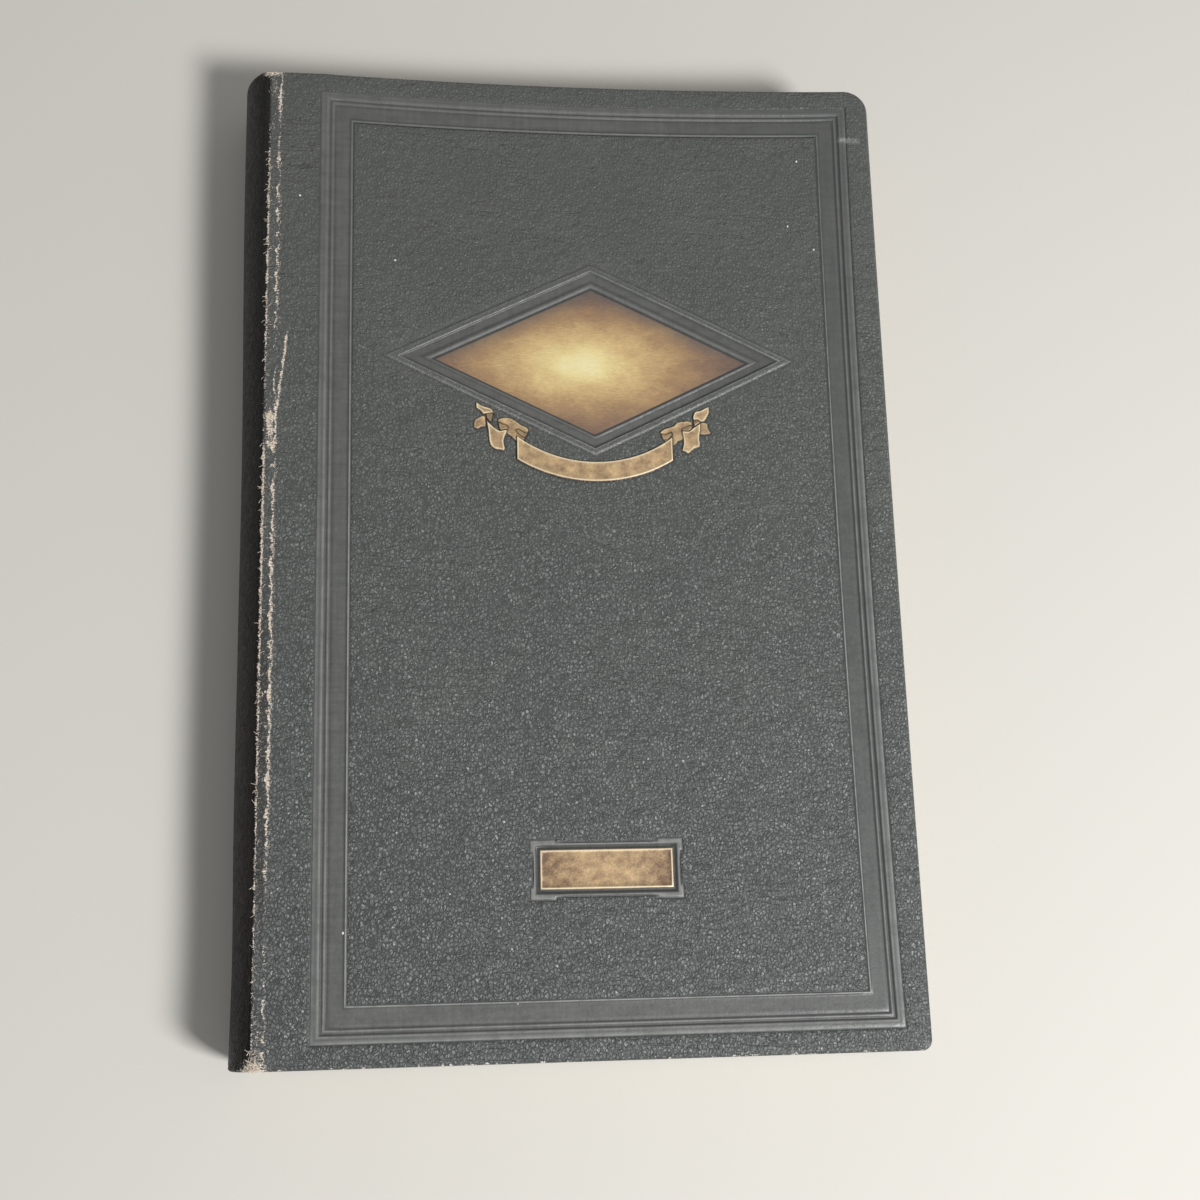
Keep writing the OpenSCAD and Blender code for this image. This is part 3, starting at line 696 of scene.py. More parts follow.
def leather_finish(name, embossed):
    """Goat-grained leather, dyed black and faded to grey, worn to its tan fibres along the ridge and the crease.

    Pebbles about 0.9 mm across with dull creases between them, painted darker as shade, each a little tilted so that
    some glint, and with painted glints on their tops; painted shade and glints grow towards the tail, where the light
    falls strongest; pressed smooth and a little lighter where the hot tools have been."""
    material, add, at = finish(name, bends=True)
    x, y, z = add("SeparateXYZ", at).outputs
    # 1 at the tail of the book and 0 at the head: towards the tail, where the light falls strongest, the creases are
    # painted darker as shade, the pebbles carry more painted glints and the crests brighter painted highlights
    toward_lit_tail = add("MapRange", y, 90.0, -120.0)
    stir = add("TexNoise", at, 1.0, 1.0)
    stirred = add("VectorMath", stir.outputs["Color"], 0.7, operation="SCALE")
    grain_at = add("VectorMath", at, stirred, operation="ADD")
    grain_at = add("VectorMath", grain_at, (1.12, 0.84, 1.12), operation="MULTIPLY")
    creases = add("TexVoronoi", grain_at, 1.0, feature="DISTANCE_TO_EDGE")
    pebble = add("TexVoronoi", grain_at, 1.0, feature="F1")
    dome = add("MapRange", creases, 0.0, 0.3, interpolation_type="SMOOTHSTEP")
    off = add("VectorMath", grain_at, pebble.outputs["Position"], operation="SUBTRACT")
    lean = add("VectorMath", pebble.outputs["Color"], (0.5, 0.5, 0.5), operation="SUBTRACT")
    tilt = add("VectorMath", off, lean, operation="DOT_PRODUCT")
    pick = add("SeparateColor", pebble.outputs["Color"])
    pores = speckle(add, at, (2.6, 2.1, 2.6), 4.0, 0.7)
    blotch = speckle(add, at, (0.04, 0.04, 0.04), 4.0)
    cluster = speckle(add, at, (0.3, 0.24, 0.3), 3.0)
    swell = speckle(add, at, (0.22, 0.42, 0.3), 2.0)
    wrinkle = wrinkle_lines(add, at, blotch)
    grained = add("MapRange", blotch, 0.3, 0.7, 0.8, 1.1)
    if embossed:
        pressed, gilt, rubbed, bronze = (add("Attribute", attribute_name=n).outputs["Fac"]
                                         for n in ("pressed", "gilt", "rubbed", "bronze"))
        grained = product(add, grained, add("MapRange", pressed, 0.0, 1.0, 1.0, 0.08))
    # relief of the grain, in millimetres: pebbles, wrinkles, the slow swell of the skin, and its pores
    bumps = add("Math", tilt.outputs["Value"], 0.3, 0.09, operation="MULTIPLY_ADD")
    bumps = add("Math", bumps, dome, operation="MULTIPLY")
    ripple = speckle(add, at, (0.62, 0.5, 0.6), 2.0, 0.5)
    ripple = product(add, ripple, add("MapRange", toward_lit_tail, 0.0, 0.7, 0.6, 0.12))
    for part, height in ((wrinkle, -0.07), (swell, 0.28), (ripple, 0.55), (pores, 0.09)):
        bumps = add("Math", part, height, bumps, operation="MULTIPLY_ADD")
    bumps = add("Math", bumps, grained, operation="MULTIPLY")
    bumps = add("Math", pores, 0.018, bumps, operation="MULTIPLY_ADD")
    # colour: creases painted darker as shade, more so towards the tail, pebbles each of their own grey, wrinkles
    # painted dark as shade, and painted glints as pale flecks on the pebbles' tops
    deep, dull, pale, black = (coated(add, at_head, (toward_lit_tail, at_tail)) for at_head, at_tail in (
        ("#535552", "#3c3f3f"), ("#5a5c59", "#4d5050"), ("#636563", "#656867"), ("#1f1e1d", "#080706")))
    # painted glints: pale flecks on the tops of the pebbles, thickest towards the tail where the light falls
    glints = speckle(add, at, (1.4, 1.0, 1.35), 2.0, 0.7)
    fleck = product(add, add("MapRange", glints, 0.5, 0.64), add("MapRange", pores, 0.38, 0.6),
                    add("MapRange", cluster, 0.4, 0.6, 0.25, 1.0), dome, add("MapRange", toward_lit_tail, 0.0, 0.7, 0.08, 1.0))
    colour = coated(add, deep, (dome, coated(add, dull, (pick.outputs[0], pale))),
                    (product(add, wrinkle, 0.45), "#2b2c2b"), (fleck, "#bcc0bd"))
    if embossed:
        streaks = add("Math", speckle(add, at, (0.05, 0.8, 1.0)), speckle(add, at, (0.8, 0.05, 1.0)), operation="ADD")
        streaks = add("Math", swell, 0.9, streaks, operation="MULTIPLY_ADD")
        ironed = coated(add, "#535452", (add("MapRange", streaks, 1.0, 1.7), "#646563"),
                        (add("MapRange", x, 30.0, 75.0, 0.0, 0.5), "#4b4e4d"))
        colour = coated(add, colour, (product(add, pressed, 0.92), ironed))
    colour = coated(add, colour, (add("MapRange", blotch, 0.45, 0.75, 0.0, 0.22), "#6f706c"))
    rough = add("MapRange", pick.outputs[2], 0.0, 1.0, 0.34, 0.54)
    surface = {"IOR": 1.5}
    if embossed:
        # painted highlights along the crests of the embossing, where they are also worn to a polish, fainter towards
        # the head, and painted shade in its recesses
        polish_and_highlight = product(add, rubbed, add("MapRange", cluster, 0.38, 0.56, 0.55, 1.0),
                           add("MapRange", toward_lit_tail, 0.0, 0.45, 0.35, 1.0))
        recess_shade = add("Math", rubbed, -0.9, operation="MULTIPLY", use_clamp=True)
        # a pale scuff across the border near the fore-edge corner at the head
        scuff = product(add, add("MapRange", apart(add, y, 118.9), 0.2, 1.1, 1.0, 0.0), 0.6,
                        add("MapRange", x, 79.0, 79.8), add("MapRange", x, 86.5, 84.0),
                        add("MapRange", pores, 0.35, 0.6))
        colour = coated(add, colour, (polish_and_highlight, "#b2b4b2"), (recess_shade, "#1b1b1a"), (scuff, "#b9bab8"))
        colour, rough, surface["Metallic"] = gilding(add, at, gilt, rubbed, bronze, colour, rough)
    # painted shade: the spine's face lies away from the light, so it is painted near black and given less shine
    spine_shade = product(add, add("MapRange", x, RIDGE_X + 0.9, RIDGE_X + 0.1), 0.94)
    joint = product(add, add("MapRange", x, CREASE_X - 0.2, CREASE_X - 0.8),
                    add("MapRange", toward_lit_tail, 0.42, 0.6), add("MapRange", y, -105.0, -90.0), 0.6)
    gloss = add("MapRange", spine_shade, 0.0, 1.0, 0.5, 0.12)
    worn, fibre = wear_mask(add, at, x, y, z)
    shade = toned(add("ValToRGB", fibre), (0.36, "#7d674e"), (0.46, "#ccb598"), (0.58, "#fbf4ea"))
    colour = coated(add, colour, (spine_shade, black), (joint, "#2a2624"), (worn, shade))
    rough = add("Mix", worn, rough, 0.85, data_type="FLOAT")
    bumps = add("Math", product(add, worn, fibre), 0.35, bumps, operation="MULTIPLY_ADD")
    bump = add("Bump", {"Height": bumps, "Strength": 1.0, "Distance": MM})
    return surfaced(material, surface | {"Base Color": colour, "Roughness": rough, "Specular IOR Level": gloss,
                                         "Normal": bump})


def wrinkle_lines(add, at, blotch):
    """Thin wrinkles across the cover, where the damp leather has drawn up: 1 along a line, 0 beside it."""
    turned = add("Mapping", {"Vector": at, "Rotation": (0.0, 0.0, math.radians(-16)), "Scale": (0.05, 0.24, 0.24)})
    waves = add("TexNoise", {"Vector": turned, "Scale": 1.0, "Detail": 3.0, "Roughness": 0.6, "Distortion": 0.7})
    line = add("MapRange", apart(add, waves, 0.5), 0.002, 0.014, 1.0, 0.0)
    return product(add, line, add("MapRange", blotch, 0.42, 0.55))


# How worn the book is from tail to head: share of its height, then the ridge, the crease and the joint between
WEAR = ((0.0, 0.7, 0.85, 0.6), (0.035, 0.6, 0.8, 0.5), (0.08, 0.62, 0.7, 0.35), (0.13, 0.7, 0.5, 0.1),
        (0.22, 0.75, 0.85, 0.15), (0.3, 0.85, 1.05, 0.3), (0.42, 0.95, 0.95, 0.3), (0.5, 1.0, 0.85, 0.35),
        (0.585, 1.1, 0.8, 0.25), (0.594, 0.6, 1.0, 0.95), (0.622, 0.6, 1.1, 1.0), (0.635, 0.5, 0.8, 0.4),
        (0.69, 0.8, 0.45, 0.2), (0.75, 0.9, 0.85, 0.35), (0.88, 0.9, 0.75, 0.45), (0.94, 0.5, 0.6, 0.45),
        (0.965, 0.3, 1.0, 0.5), (1.0, 0.45, 1.0, 0.6))


def wear_mask(add, at, x, y, z):
    """Where the dye is rubbed off, in broken flecks, and the noise that also colours them."""
    fleck = speckle(add, at, (1.5, 2.3, 1.5), 5.0, 0.78)
    stir = speckle(add, at, (0.5, 0.35, 0.5), 2.0)
    along = add("ValToRGB", add("MapRange", y, -HALF_H, HALF_H))
    amount = add("SeparateColor", toned(along, *((share, amounts) for share, *amounts in WEAR)))
    uneven = add("MapRange", stir, 0.35, 0.65, 0.6, 1.15)
    near = []
    for channel, place, width, stray in ((0, RIDGE_X + 0.5, 0.8, 0.9), (1, CREASE_X - 0.05, 1.1, 3.4),
                                         (2, CREASE_X - 1.2, 2.5, 1.0)):
        line_x = add("Math", stir, stray, x, operation="MULTIPLY_ADD")
        off = apart(add, line_x, place + stray / 2)
        near.append(product(add, add("MapRange", off, 0.1 * width, width, 1.0, 0.0), amount.outputs[channel], uneven))
    # a crack that runs askew from the crease into the joint
    askew = add("Math", y, 0.114, -82.61, operation="MULTIPLY_ADD")
    off = apart(add, add("Math", line_x, askew, operation="SUBTRACT"), 0.5)
    crack = product(add, add("MapRange", off, 0.08, 0.75, 1.0, 0.0), add("MapRange", y, 27.0, 31.0),
                    add("MapRange", y, 62.0, 54.0), uneven)
    total = crack
    for line in near:
        total = add("Math", total, line, operation="MAXIMUM")
    total = product(add, total, add("MapRange", apart(add, z, BOOK_T / 2), BOOK_T / 2 - 1.5, BOOK_T / 2 - 0.7))
    # caps of the spine, and the tail edge, where the book stood and was slid out
    beside = add("MapRange", x, CREASE_X + 5.0, CREASE_X - 1.0)
    from_end = add("Math", y, operation="ABSOLUTE")
    reach = add("MapRange", y, -1.0, 1.0, HALF_H - 7.0, HALF_H - 4.0)
    cap = add("MapRange", from_end, reach, HALF_H - 0.3)
    cap = product(add, cap, beside, add("MapRange", x, RIDGE_X - 3.0, RIDGE_X - 0.5, 0.48, 0.92))
    tail = product(add, add("MapRange", y, 1.6 - HALF_H, 0.1 - HALF_H), add("MapRange", stir, 0.48, 0.6),
                   add("MapRange", z, BOOK_T - 1.6, BOOK_T - 0.5), 0.75)
    fore = product(add, add("MapRange", x, FORE_X - 4.0, FORE_X - 0.3), add("MapRange", y, 6 - HALF_H, -HALF_H), 0.7)
    for other in (cap, tail, fore):
        total = add("Math", total, other, operation="MAXIMUM")
    total = add("Math", total, 0.5, fleck, operation="MULTIPLY_ADD")
    return add("MapRange", total, 0.79, 0.85), fleck


def gilding(add, at, gilt, rubbed, bronze, colour, rough):
    """Bronze powder rubbed into the leather: bright in the middle of the diamond, brown towards its corners."""
    cloud = speckle(add, at, (0.13, 0.2, 0.1), 5.0, 0.65)
    speck = speckle(add, at, (0.7, 3.4, 1.0), 4.0, 0.75)
    off = add("VectorMath", at, (PANEL_X - 3.0, DIAMOND_Y - 1.6, BOOK_T), operation="SUBTRACT")
    shape = add("VectorMath", off, (1 / 45.0, 1 / 22.0, 0.0), operation="MULTIPLY")
    far = add("VectorMath", shape, operation="LENGTH")
    far = add("Math", cloud, 0.42, far.outputs["Value"], operation="MULTIPLY_ADD")
    far = add("Math", speck, 0.42, far, operation="MULTIPLY_ADD")
    gold = toned(add("ValToRGB", add("MapRange", far, 0.36, 1.56)), (0, "#fff6c8"), (0.16, "#f8e6a6"),
                 (0.34, "#dfc089"), (0.54, "#b4936d"), (0.74, "#8f7462"), (1, "#5f5350"))
    grit = speckle(add, at, (2.2, 1.8, 1.0), 4.0, 0.75)
    patches = speckle(add, at, (0.3, 0.35, 0.1), 3.0)
    mixed = add("Math", grit, 0.7, patches, operation="MULTIPLY_ADD")
    across, along, _ = add("SeparateXYZ", off).outputs
    plate_end = product(add, add("MapRange", apart(add, across, 3.0), 6.0, 17.0, 0.0, 0.3),
                        add("MapRange", along, -100.0, -110.0))
    mixed = add("Math", mixed, plate_end, operation="SUBTRACT")
    powder = coated(add, "#7d6450", (add("MapRange", mixed, 0.52, 1.12), "#e0c091"))
    # painted shade in the gilt's recesses and painted highlights on its crests
    recess_shade = add("Math", rubbed, -0.95, operation="MULTIPLY", use_clamp=True)
    gold = coated(add, gold, (bronze, powder), (product(add, rubbed, 0.95), "#fbecc9"), (recess_shade, "#33291f"))
    rough = add("Mix", gilt, rough, 0.42, data_type="FLOAT")
    return coated(add, colour, (gilt, gold)), rough, product(add, gilt, 0.22)


def matt_finish(name, light, dark, bends=False):
    """Uncoated stuff made of fibres, such as book paper, board, cloth and thread, browned unevenly by age."""
    material, add, at = finish(name, bends)
    age = add("TexNoise", at, 0.02, 3.0, 0.5)
    fibre = add("TexNoise", at, 2.5, 4.0)
    mixed = add("Math", fibre, 0.3, age, operation="MULTIPLY_ADD")
    colour = coated(add, light, (add("MapRange", mixed, 0.35, 1.0), dark))
    bump = add("Bump", {"Height": fibre, "Strength": 0.4, "Distance": 0.03 * MM})
    return surfaced(material, {"Base Color": colour, "Roughness": 0.85, "Normal": bump})


def page_edge_finish():
    """Cut edges of rag paper, toned by age: the leaves show as fine lines, in paler and darker sections.

    A leaf is 0.09 mm thick, too thin to show, so the lines are drawn four times as coarse."""
    material, add, at = finish("aged_page_paper")
    leaves = speckle(add, at, (0.012, 0.012, 2.6), 3.0, 0.8)
    sections = speckle(add, at, (0.004, 0.004, 0.5), 2.0)
    stains = speckle(add, at, (0.025, 0.025, 0.09), 4.0)
    facing = add("SeparateXYZ", add("NewGeometry").outputs["True Normal"]).outputs[2]
    cut = add("MapRange", add("Math", facing, operation="ABSOLUTE"), 0.5, 0.8, 1.0, 0.0)
    tone = add("Math", sections, 0.7, leaves, operation="MULTIPLY_ADD")
    tone = add("Mix", cut, 0.98, tone, data_type="FLOAT")
    tone = add("Math", stains, 0.4, tone, operation="MULTIPLY_ADD")
    shade = toned(add("ValToRGB", add("MapRange", tone, 0.75, 1.45)), (0, "#9a8b72"), (0.35, "#d2c6ac"),
                  (1, "#eee6d5"))
    bump = add("Bump", {"Height": leaves, "Strength": 0.7, "Distance": 0.15 * MM})
    return surfaced(material, {"Base Color": shade, "Roughness": 0.85, "Normal": bump})


embossed_leather = leather_finish("worn_embossed_goatskin", True)
plain_leather = leather_finish("worn_goatskin", False)
pages_finish = page_edge_finish()
endpaper = matt_finish("aged_endpaper", "#dccfb4", "#c4b390", bends=True)
card = matt_finish("grey_spine_card", "#8d8a82", "#6f6c66")
board = matt_finish("binders_board", "#9a8d78", "#7c705d")
cloth = matt_finish("open_mull_cloth", "#d6cbb2", "#b5a98c")
band_cloth = matt_finish("band_cloth", "#c9b28a", "#8d6f4b")


# Covers

def front_face(x, y):
    """Relief and warp of the front cover, or with no place the contours and loose points of its mesh."""
    if x is None:
        field = grid(CREASE_X + 3, FORE_X - 2, -HALF_H + 2, HALF_H - 2, 4.0, 1.3)
        for reach, low, high, step, gap in ((42, DIAMOND_Y - 22, DIAMOND_Y + 22, 1.6, 0.6),
                                            (36, DIAMOND_Y - 36, DIAMOND_Y - 11, 0.7, 0.3),
                                            (21, LABEL_Y - 9, LABEL_Y + 9, 1.6, 0.6)):
            field += grid(PANEL_X - reach, PANEL_X + reach, low, high, step, gap)
        return face_points(), field
    if np.ndim(x) == 0:
        return 0.0, float(warp(x, y))
    return relief(x, y)[0], warp(x, y)


def flat_face(x, y):
    """The plain flat face of the back cover."""
    if x is None:
        return [], grid(CREASE_X + 3, FORE_X - 3, -HALF_H + 3, HALF_H - 3, 6.0, 2.0)
    return (0.0, 0.0) if np.ndim(x) == 0 else (np.zeros(len(x)), np.zeros(len(x)))


def board_shell(face, slack=0.02):
    """A board, a little smaller than the leather round it."""
    shell = Shell()
    x0 = CREASE_X + PAPER_T
    side_y = [(HALF_H - LEATHER_T - slack) * (2 * i / SIDE_ROWS - 1) for i in range(SIDE_ROWS + 1)]
    ring = [(max(x, x0), y) for x, y in cover_ring(LEATHER_T + slack)]
    boundary = ring + [(x0, y) for y in side_y[1:-1]]
    loose = grid(x0 + 4, FORE_X - 5, -HALF_H + 5, HALF_H - 5, 6.0, 2.5)
    flat, tris = triangles(boundary, [], loose)
    shift = face(flat[:, 0], flat[:, 1])[1]
    walls = []
    for depth in (LEATHER_T + slack, BOARD_IN - slack):
        for t in tris:
            shell.face([(flat[i, 0], flat[i, 1], BOOK_T - depth + shift[i]) for i in t])
        walls.append([(x, y, BOOK_T - depth + face(x, y)[1]) for x, y in boundary + boundary[:1]])
    shell.strip(*walls)
    return shell


def pastedown_depth(x, y):
    """Depth of the pasted endpaper: it sinks a little between the turn-ins, and steps over the mull."""
    inside = np.minimum(np.minimum(x - CREASE_X - FLANGE_W, FORE_X - TURN_W - x), HALF_H - TURN_W - abs(y))
    return COVER_T - (TURN_T - 0.02) * smooth((inside + 0.4) / 1.6)


def pastedown_shell(face):
    """Half of the folded endpaper: up the edge of the board at the joint, then over the board's inside."""
    shell = Shell()
    x_end, y_end = FORE_X - PAPER_EDGE, HALF_H - PAPER_EDGE
    wrap_y = HALF_H - TURN_W
    xs = [CREASE_X + 0.55, CREASE_X + 1.5] + [CREASE_X + 3 + (x_end - CREASE_X - 3) * i / 60 for i in range(61)]
    inner_y = [wrap_y * (2 * i / 60 - 1) for i in range(61)]
    ys = [-y_end, -y_end + 3, -wrap_y - 5, -wrap_y - 0.08] + inner_y + [wrap_y + 0.08, wrap_y + 5, y_end - 3, y_end]
    rows = []
    for y in ys:
        up = abs(y) <= wrap_y + 1e-6
        wrap = [LEATHER_T + 0.05, 1.8, 2.8, 3.5] if up else [3.72, 3.73, 3.74, 3.75]
        outer = [(CREASE_X, d) for d in wrap] + [(CREASE_X + 0.1, 3.78), (CREASE_X + 0.25, 3.88)]
        outer += [(x, float(pastedown_depth(x, y))) for x in xs]
        inner = [(x, d - PAPER_T + 0.01) for x, d in outer[6:]]
        back = [(CREASE_X + PAPER_T, min(d, COVER_T - PAPER_T)) for d in wrap]
        back = [(x, d - 0.01 * (4 - i)) for i, (x, d) in enumerate(back)]
        ring = outer + inner[::-1] + [(CREASE_X + 0.3, 3.69)] + back[::-1]
        rows.append([(x, y, BOOK_T - d + face(x, y)[1]) for x, d in ring + ring[:1]])
    shell.bar(rows)
    return shell


def flange_shell(face, slack=0.02):
    """Strip of mull glued to a board beside the joint."""
    shell = Shell()
    rows = []
    for i in range(61):
        y = (HALF_H - TURN_W - slack) * (2 * i / 60 - 1)
        xs = [CREASE_X + PAPER_T + slack + (FLANGE_W - 2 * slack) * k / 8 for k in range(9)]
        ring = [(x, BOARD_IN + slack) for x in xs] + [(x, TURNED - slack) for x in reversed(xs)]
        rows.append([(x, y, BOOK_T - d + face(x, y)[1]) for x, d in ring + ring[:1]])
    shell.bar(rows)
    return shell


def joint_paper_shell():
    """Fold of the endpaper in the joint, from the shoulder of the pages to the edge of the board."""
    section = [(SHOULDER_X + 0.01, 24.02), (SHOULDER_X + 0.01, 26.6)]
    top = [(-79.4, 26.86), (-79.36, 26.93), (-79.32, 26.97), (-79.28, 26.99), (-79.25, 27.0), (-79.22, 26.99),
           (-79.18, 26.97), (-79.14, 26.93), (-79.1, 26.86)]
    section += top + [(-79.02, 26.6), (-79.02, 24.2), (-79.1, 24.2), (-79.1, 26.5), (-79.12, 26.7)]
    section += [(x, z - 0.12) for x, z in reversed(top[1:-1])] + [(-79.41, 26.5), (-79.41, 24.02)]
    shell = Shell()
    rows = [[(x, y, z) for x, z in section + section[:1]]
            for y in (PAGE_HALF_H * (2 * i / 40 - 1) for i in range(41))]
    shell.bar(rows)
    return shell


def shrunken(points):
    """Places of a front-cover piece, drawn in along the face."""
    x, y, z = np.array(points).T
    dx, dy = drawn_in(x, y)
    return [tuple(p) for p in np.stack([x + dx, y + dy, z], 1).tolist()]


def turned_over(points):
    """Places of a front-cover piece, turned over for the back cover."""
    return [(x, y, BOOK_T - z) for x, y, z in points]


def dress_cover(side, body, leather, face, place):
    """The pieces of one cover, each in place of its solid."""
    shell = cover_leather(face)
    flat = np.array(shell.points)
    covering = mesh_object(f"{side}_leather_cover", place(shell.points), shell.faces, leather)
    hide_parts(f"{side}_leather")
    for piece_name, shell, material, node, slot in (
            (f"{side}_millboard", board_shell(face), board, f"{side}_board", "binders_board"),
            (f"{side}_mull", flange_shell(face), cloth, f"{side}_mull_flange", "mull_cloth"),
            (f"{side}_endpaper", pastedown_shell(face), endpaper, f"{side}_pastedown", "endpaper")):
        piece = mesh_object(piece_name, place(shell.points), shell.faces, material)
        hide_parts(node)
        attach(piece, body)
    shell = joint_paper_shell()
    fold = mesh_object(f"{side}_endpaper_fold", place(shell.points), shell.faces, endpaper, 60)
    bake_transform(fold)
    return covering, flat.T


front, (x, y, z) = dress_cover("front", "front_cover", embossed_leather, front_face, shrunken)
height, gilt, pressed, rubbed = relief(x, y)
on_face = z > BOOK_T + warp(x, y) - 0.45
bronze = (diamond_in(x, y) < 2.9).astype(float)
for name, values in (("gilt", gilt), ("pressed", pressed), ("rubbed", rubbed), ("bronze", bronze)):
    paint(front, name, np.where(on_face, values, 0))
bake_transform(front)
back, _ = dress_cover("back", "back_cover", plain_leather, flat_face, turned_over)
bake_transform(back)


# Spine

def spine_columns():
    """Section of the spine from seam to seam: place, outward normal and the angle round the spine."""
    out = [(SEAM_X, BOOK_T, 0.0, 1.0, 0.0), (SEAM_X - 0.5, BOOK_T, 0.0, 1.0, 0.0)]
    cx, cz = ROUND_X - RIDGE_RUN, BOOK_T - RIDGE_R
    end = math.pi - ROUND_ANGLE
    for i in range(12):
        a = math.pi / 2 + (end - math.pi / 2) * i / 12
        out.append((cx + RIDGE_R * math.cos(a), cz + RIDGE_R * math.sin(a), math.cos(a), math.sin(a), 0.0))
    angles = [ROUND_ANGLE, INLAY_ANGLE] + [INLAY_ANGLE * (1 - i / 15) for i in range(1, 16)]
    for a in angles:
        turn = math.pi - a
        out.append((ROUND_X + ROUND_R * math.cos(turn), BOOK_T / 2 + ROUND_R * math.sin(turn),
                    math.cos(turn), math.sin(turn), a))
    return out + [(x, BOOK_T - z, nx, -nz, -a) for x, z, nx, nz, a in reversed(out[:-1])]


def spine_shell():
    """Leather over the spine, rolled in over the card at head and tail."""
    shell = Shell()
    r = LEATHER_T
    rolls = [15, 30, 45, 60, 75, 90]
    roll = [(r * (1 - math.sin(math.radians(a))), r * (1 - math.cos(math.radians(a)))) for a in rolls]
    inner = LEATHER_T + GLUE_T + INLAY_T
    deep = inner + TURN_T
    hook = [(0.0, 1.4)] + [(0.6 * (1 - math.cos(math.radians(a))), deep - 0.6 * (1 - math.sin(math.radians(a))))
                           for a in (20, 45, 70, 90)]
    hook += [(4.0, deep), (9.0, deep), (TURN_W - 0.5, deep), (TURN_W, deep - 0.15), (TURN_W, inner),
             (8.0, inner), (LEATHER_T, inner), (LEATHER_T, LEATHER_T)]
    rows = 224
    ys = [(HALF_H - r) * (2 * i / rows - 1) for i in range(rows + 1)]

    def section(column, hooked):
        x, z, nx, nz, _ = column

        def put(y, depth):
            full = spine_fullness(y) * smooth((-nx - 0.3) / 0.6)
            if depth == 0:
                depth = -ridge_wear(x, y, z) - full
            elif depth <= LEATHER_T:
                depth -= max(full, 0.0)
            return (x - nx * depth, y, z - nz * depth)

        low_ends = hook if hooked else [(LEATHER_T, LEATHER_T)]
        ring = [put(y, 0) for y in ys]
        ring += [put(HALF_H - i, d) for i, d in roll + low_ends]
        ring += [put(y, LEATHER_T) for y in reversed(ys[1:-1])]
        ring += [put(i - HALF_H, d) for i, d in reversed(roll + low_ends)]
        return ring + ring[:1]

    columns = spine_columns()
    inside = [k for k, c in enumerate(columns) if abs(c[4]) <= INLAY_ANGLE + 1e-9 and c[4] != 0.0
              or abs(c[1] - BOOK_T / 2) < 1e-6]
    first, last = inside[0], inside[-1]
    shell.loft([section(c, False) for c in columns[:first + 1]])
    shell.loft([section(c, True) for c in columns[first:last + 1]])
    shell.loft([section(c, False) for c in columns[last:]])
    for column in (columns[first], columns[last]):
        x, z, nx, nz, _ = column
        for side in (1, -1):
            full = max(spine_fullness(side * HALF_H), 0.0) * smooth((-nx - 0.3) / 0.6)
            levels = [(i, d - full if d <= LEATHER_T else d) for i, d in roll[-1:] + hook]
            shell.face([(x - nx * d, side * (HALF_H - i), z - nz * d) for i, d in levels])
    for column in (columns[0], columns[-1]):
        shell.face(section(column, False)[:-1])
    return shell


def spine_fullness(y):
    """How far the old leather stands off the spine near its head, and has been rubbed thin near its tail."""
    return 1.0 * float(smooth((y - 10) / 100)) - 0.45 * math.exp(-((y + 108) / 22) ** 2)


def ridge_wear(x, y, z):
    """Roughness of the rubbed leather along the two ridges and at the caps of the spine."""
    on_ridge = math.exp(-((x - RIDGE_X) / 0.9) ** 2) if abs(z - BOOK_T / 2) > 9 else 0.0
    cap = smooth((abs(y) - HALF_H + 7) / 7) * smooth((SEAM_X - 0.3 - x) / 1.0)
    lump = noise.noise(Vector((x, y, z)) * 0.9) + 0.6 * noise.noise(Vector((x, y, z)) * 2.3)
    return float((0.16 * on_ridge + 0.14 * cap) * lump)


shell = spine_shell()
spine = mesh_object("spine_leather_cover", shell.points, shell.faces, plain_leather)
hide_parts("spine_leather")
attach(spine, "book_block")


# Pages

def leaf_edge(z):
    """Left and right end of the pages at a height."""
    dz = z - BOOK_T / 2
    run = math.sqrt(BACK_R ** 2 - dz * dz)
    back_x = ROUND_X - run
    if abs(dz) > PAGE_HALF_T:
        return back_x, SHOULDER_X
    fore_x = PAGE_FORE_X + BACK_R * math.cos(math.asin(PAGE_HALF_T / BACK_R)) - run
    return back_x, fore_x


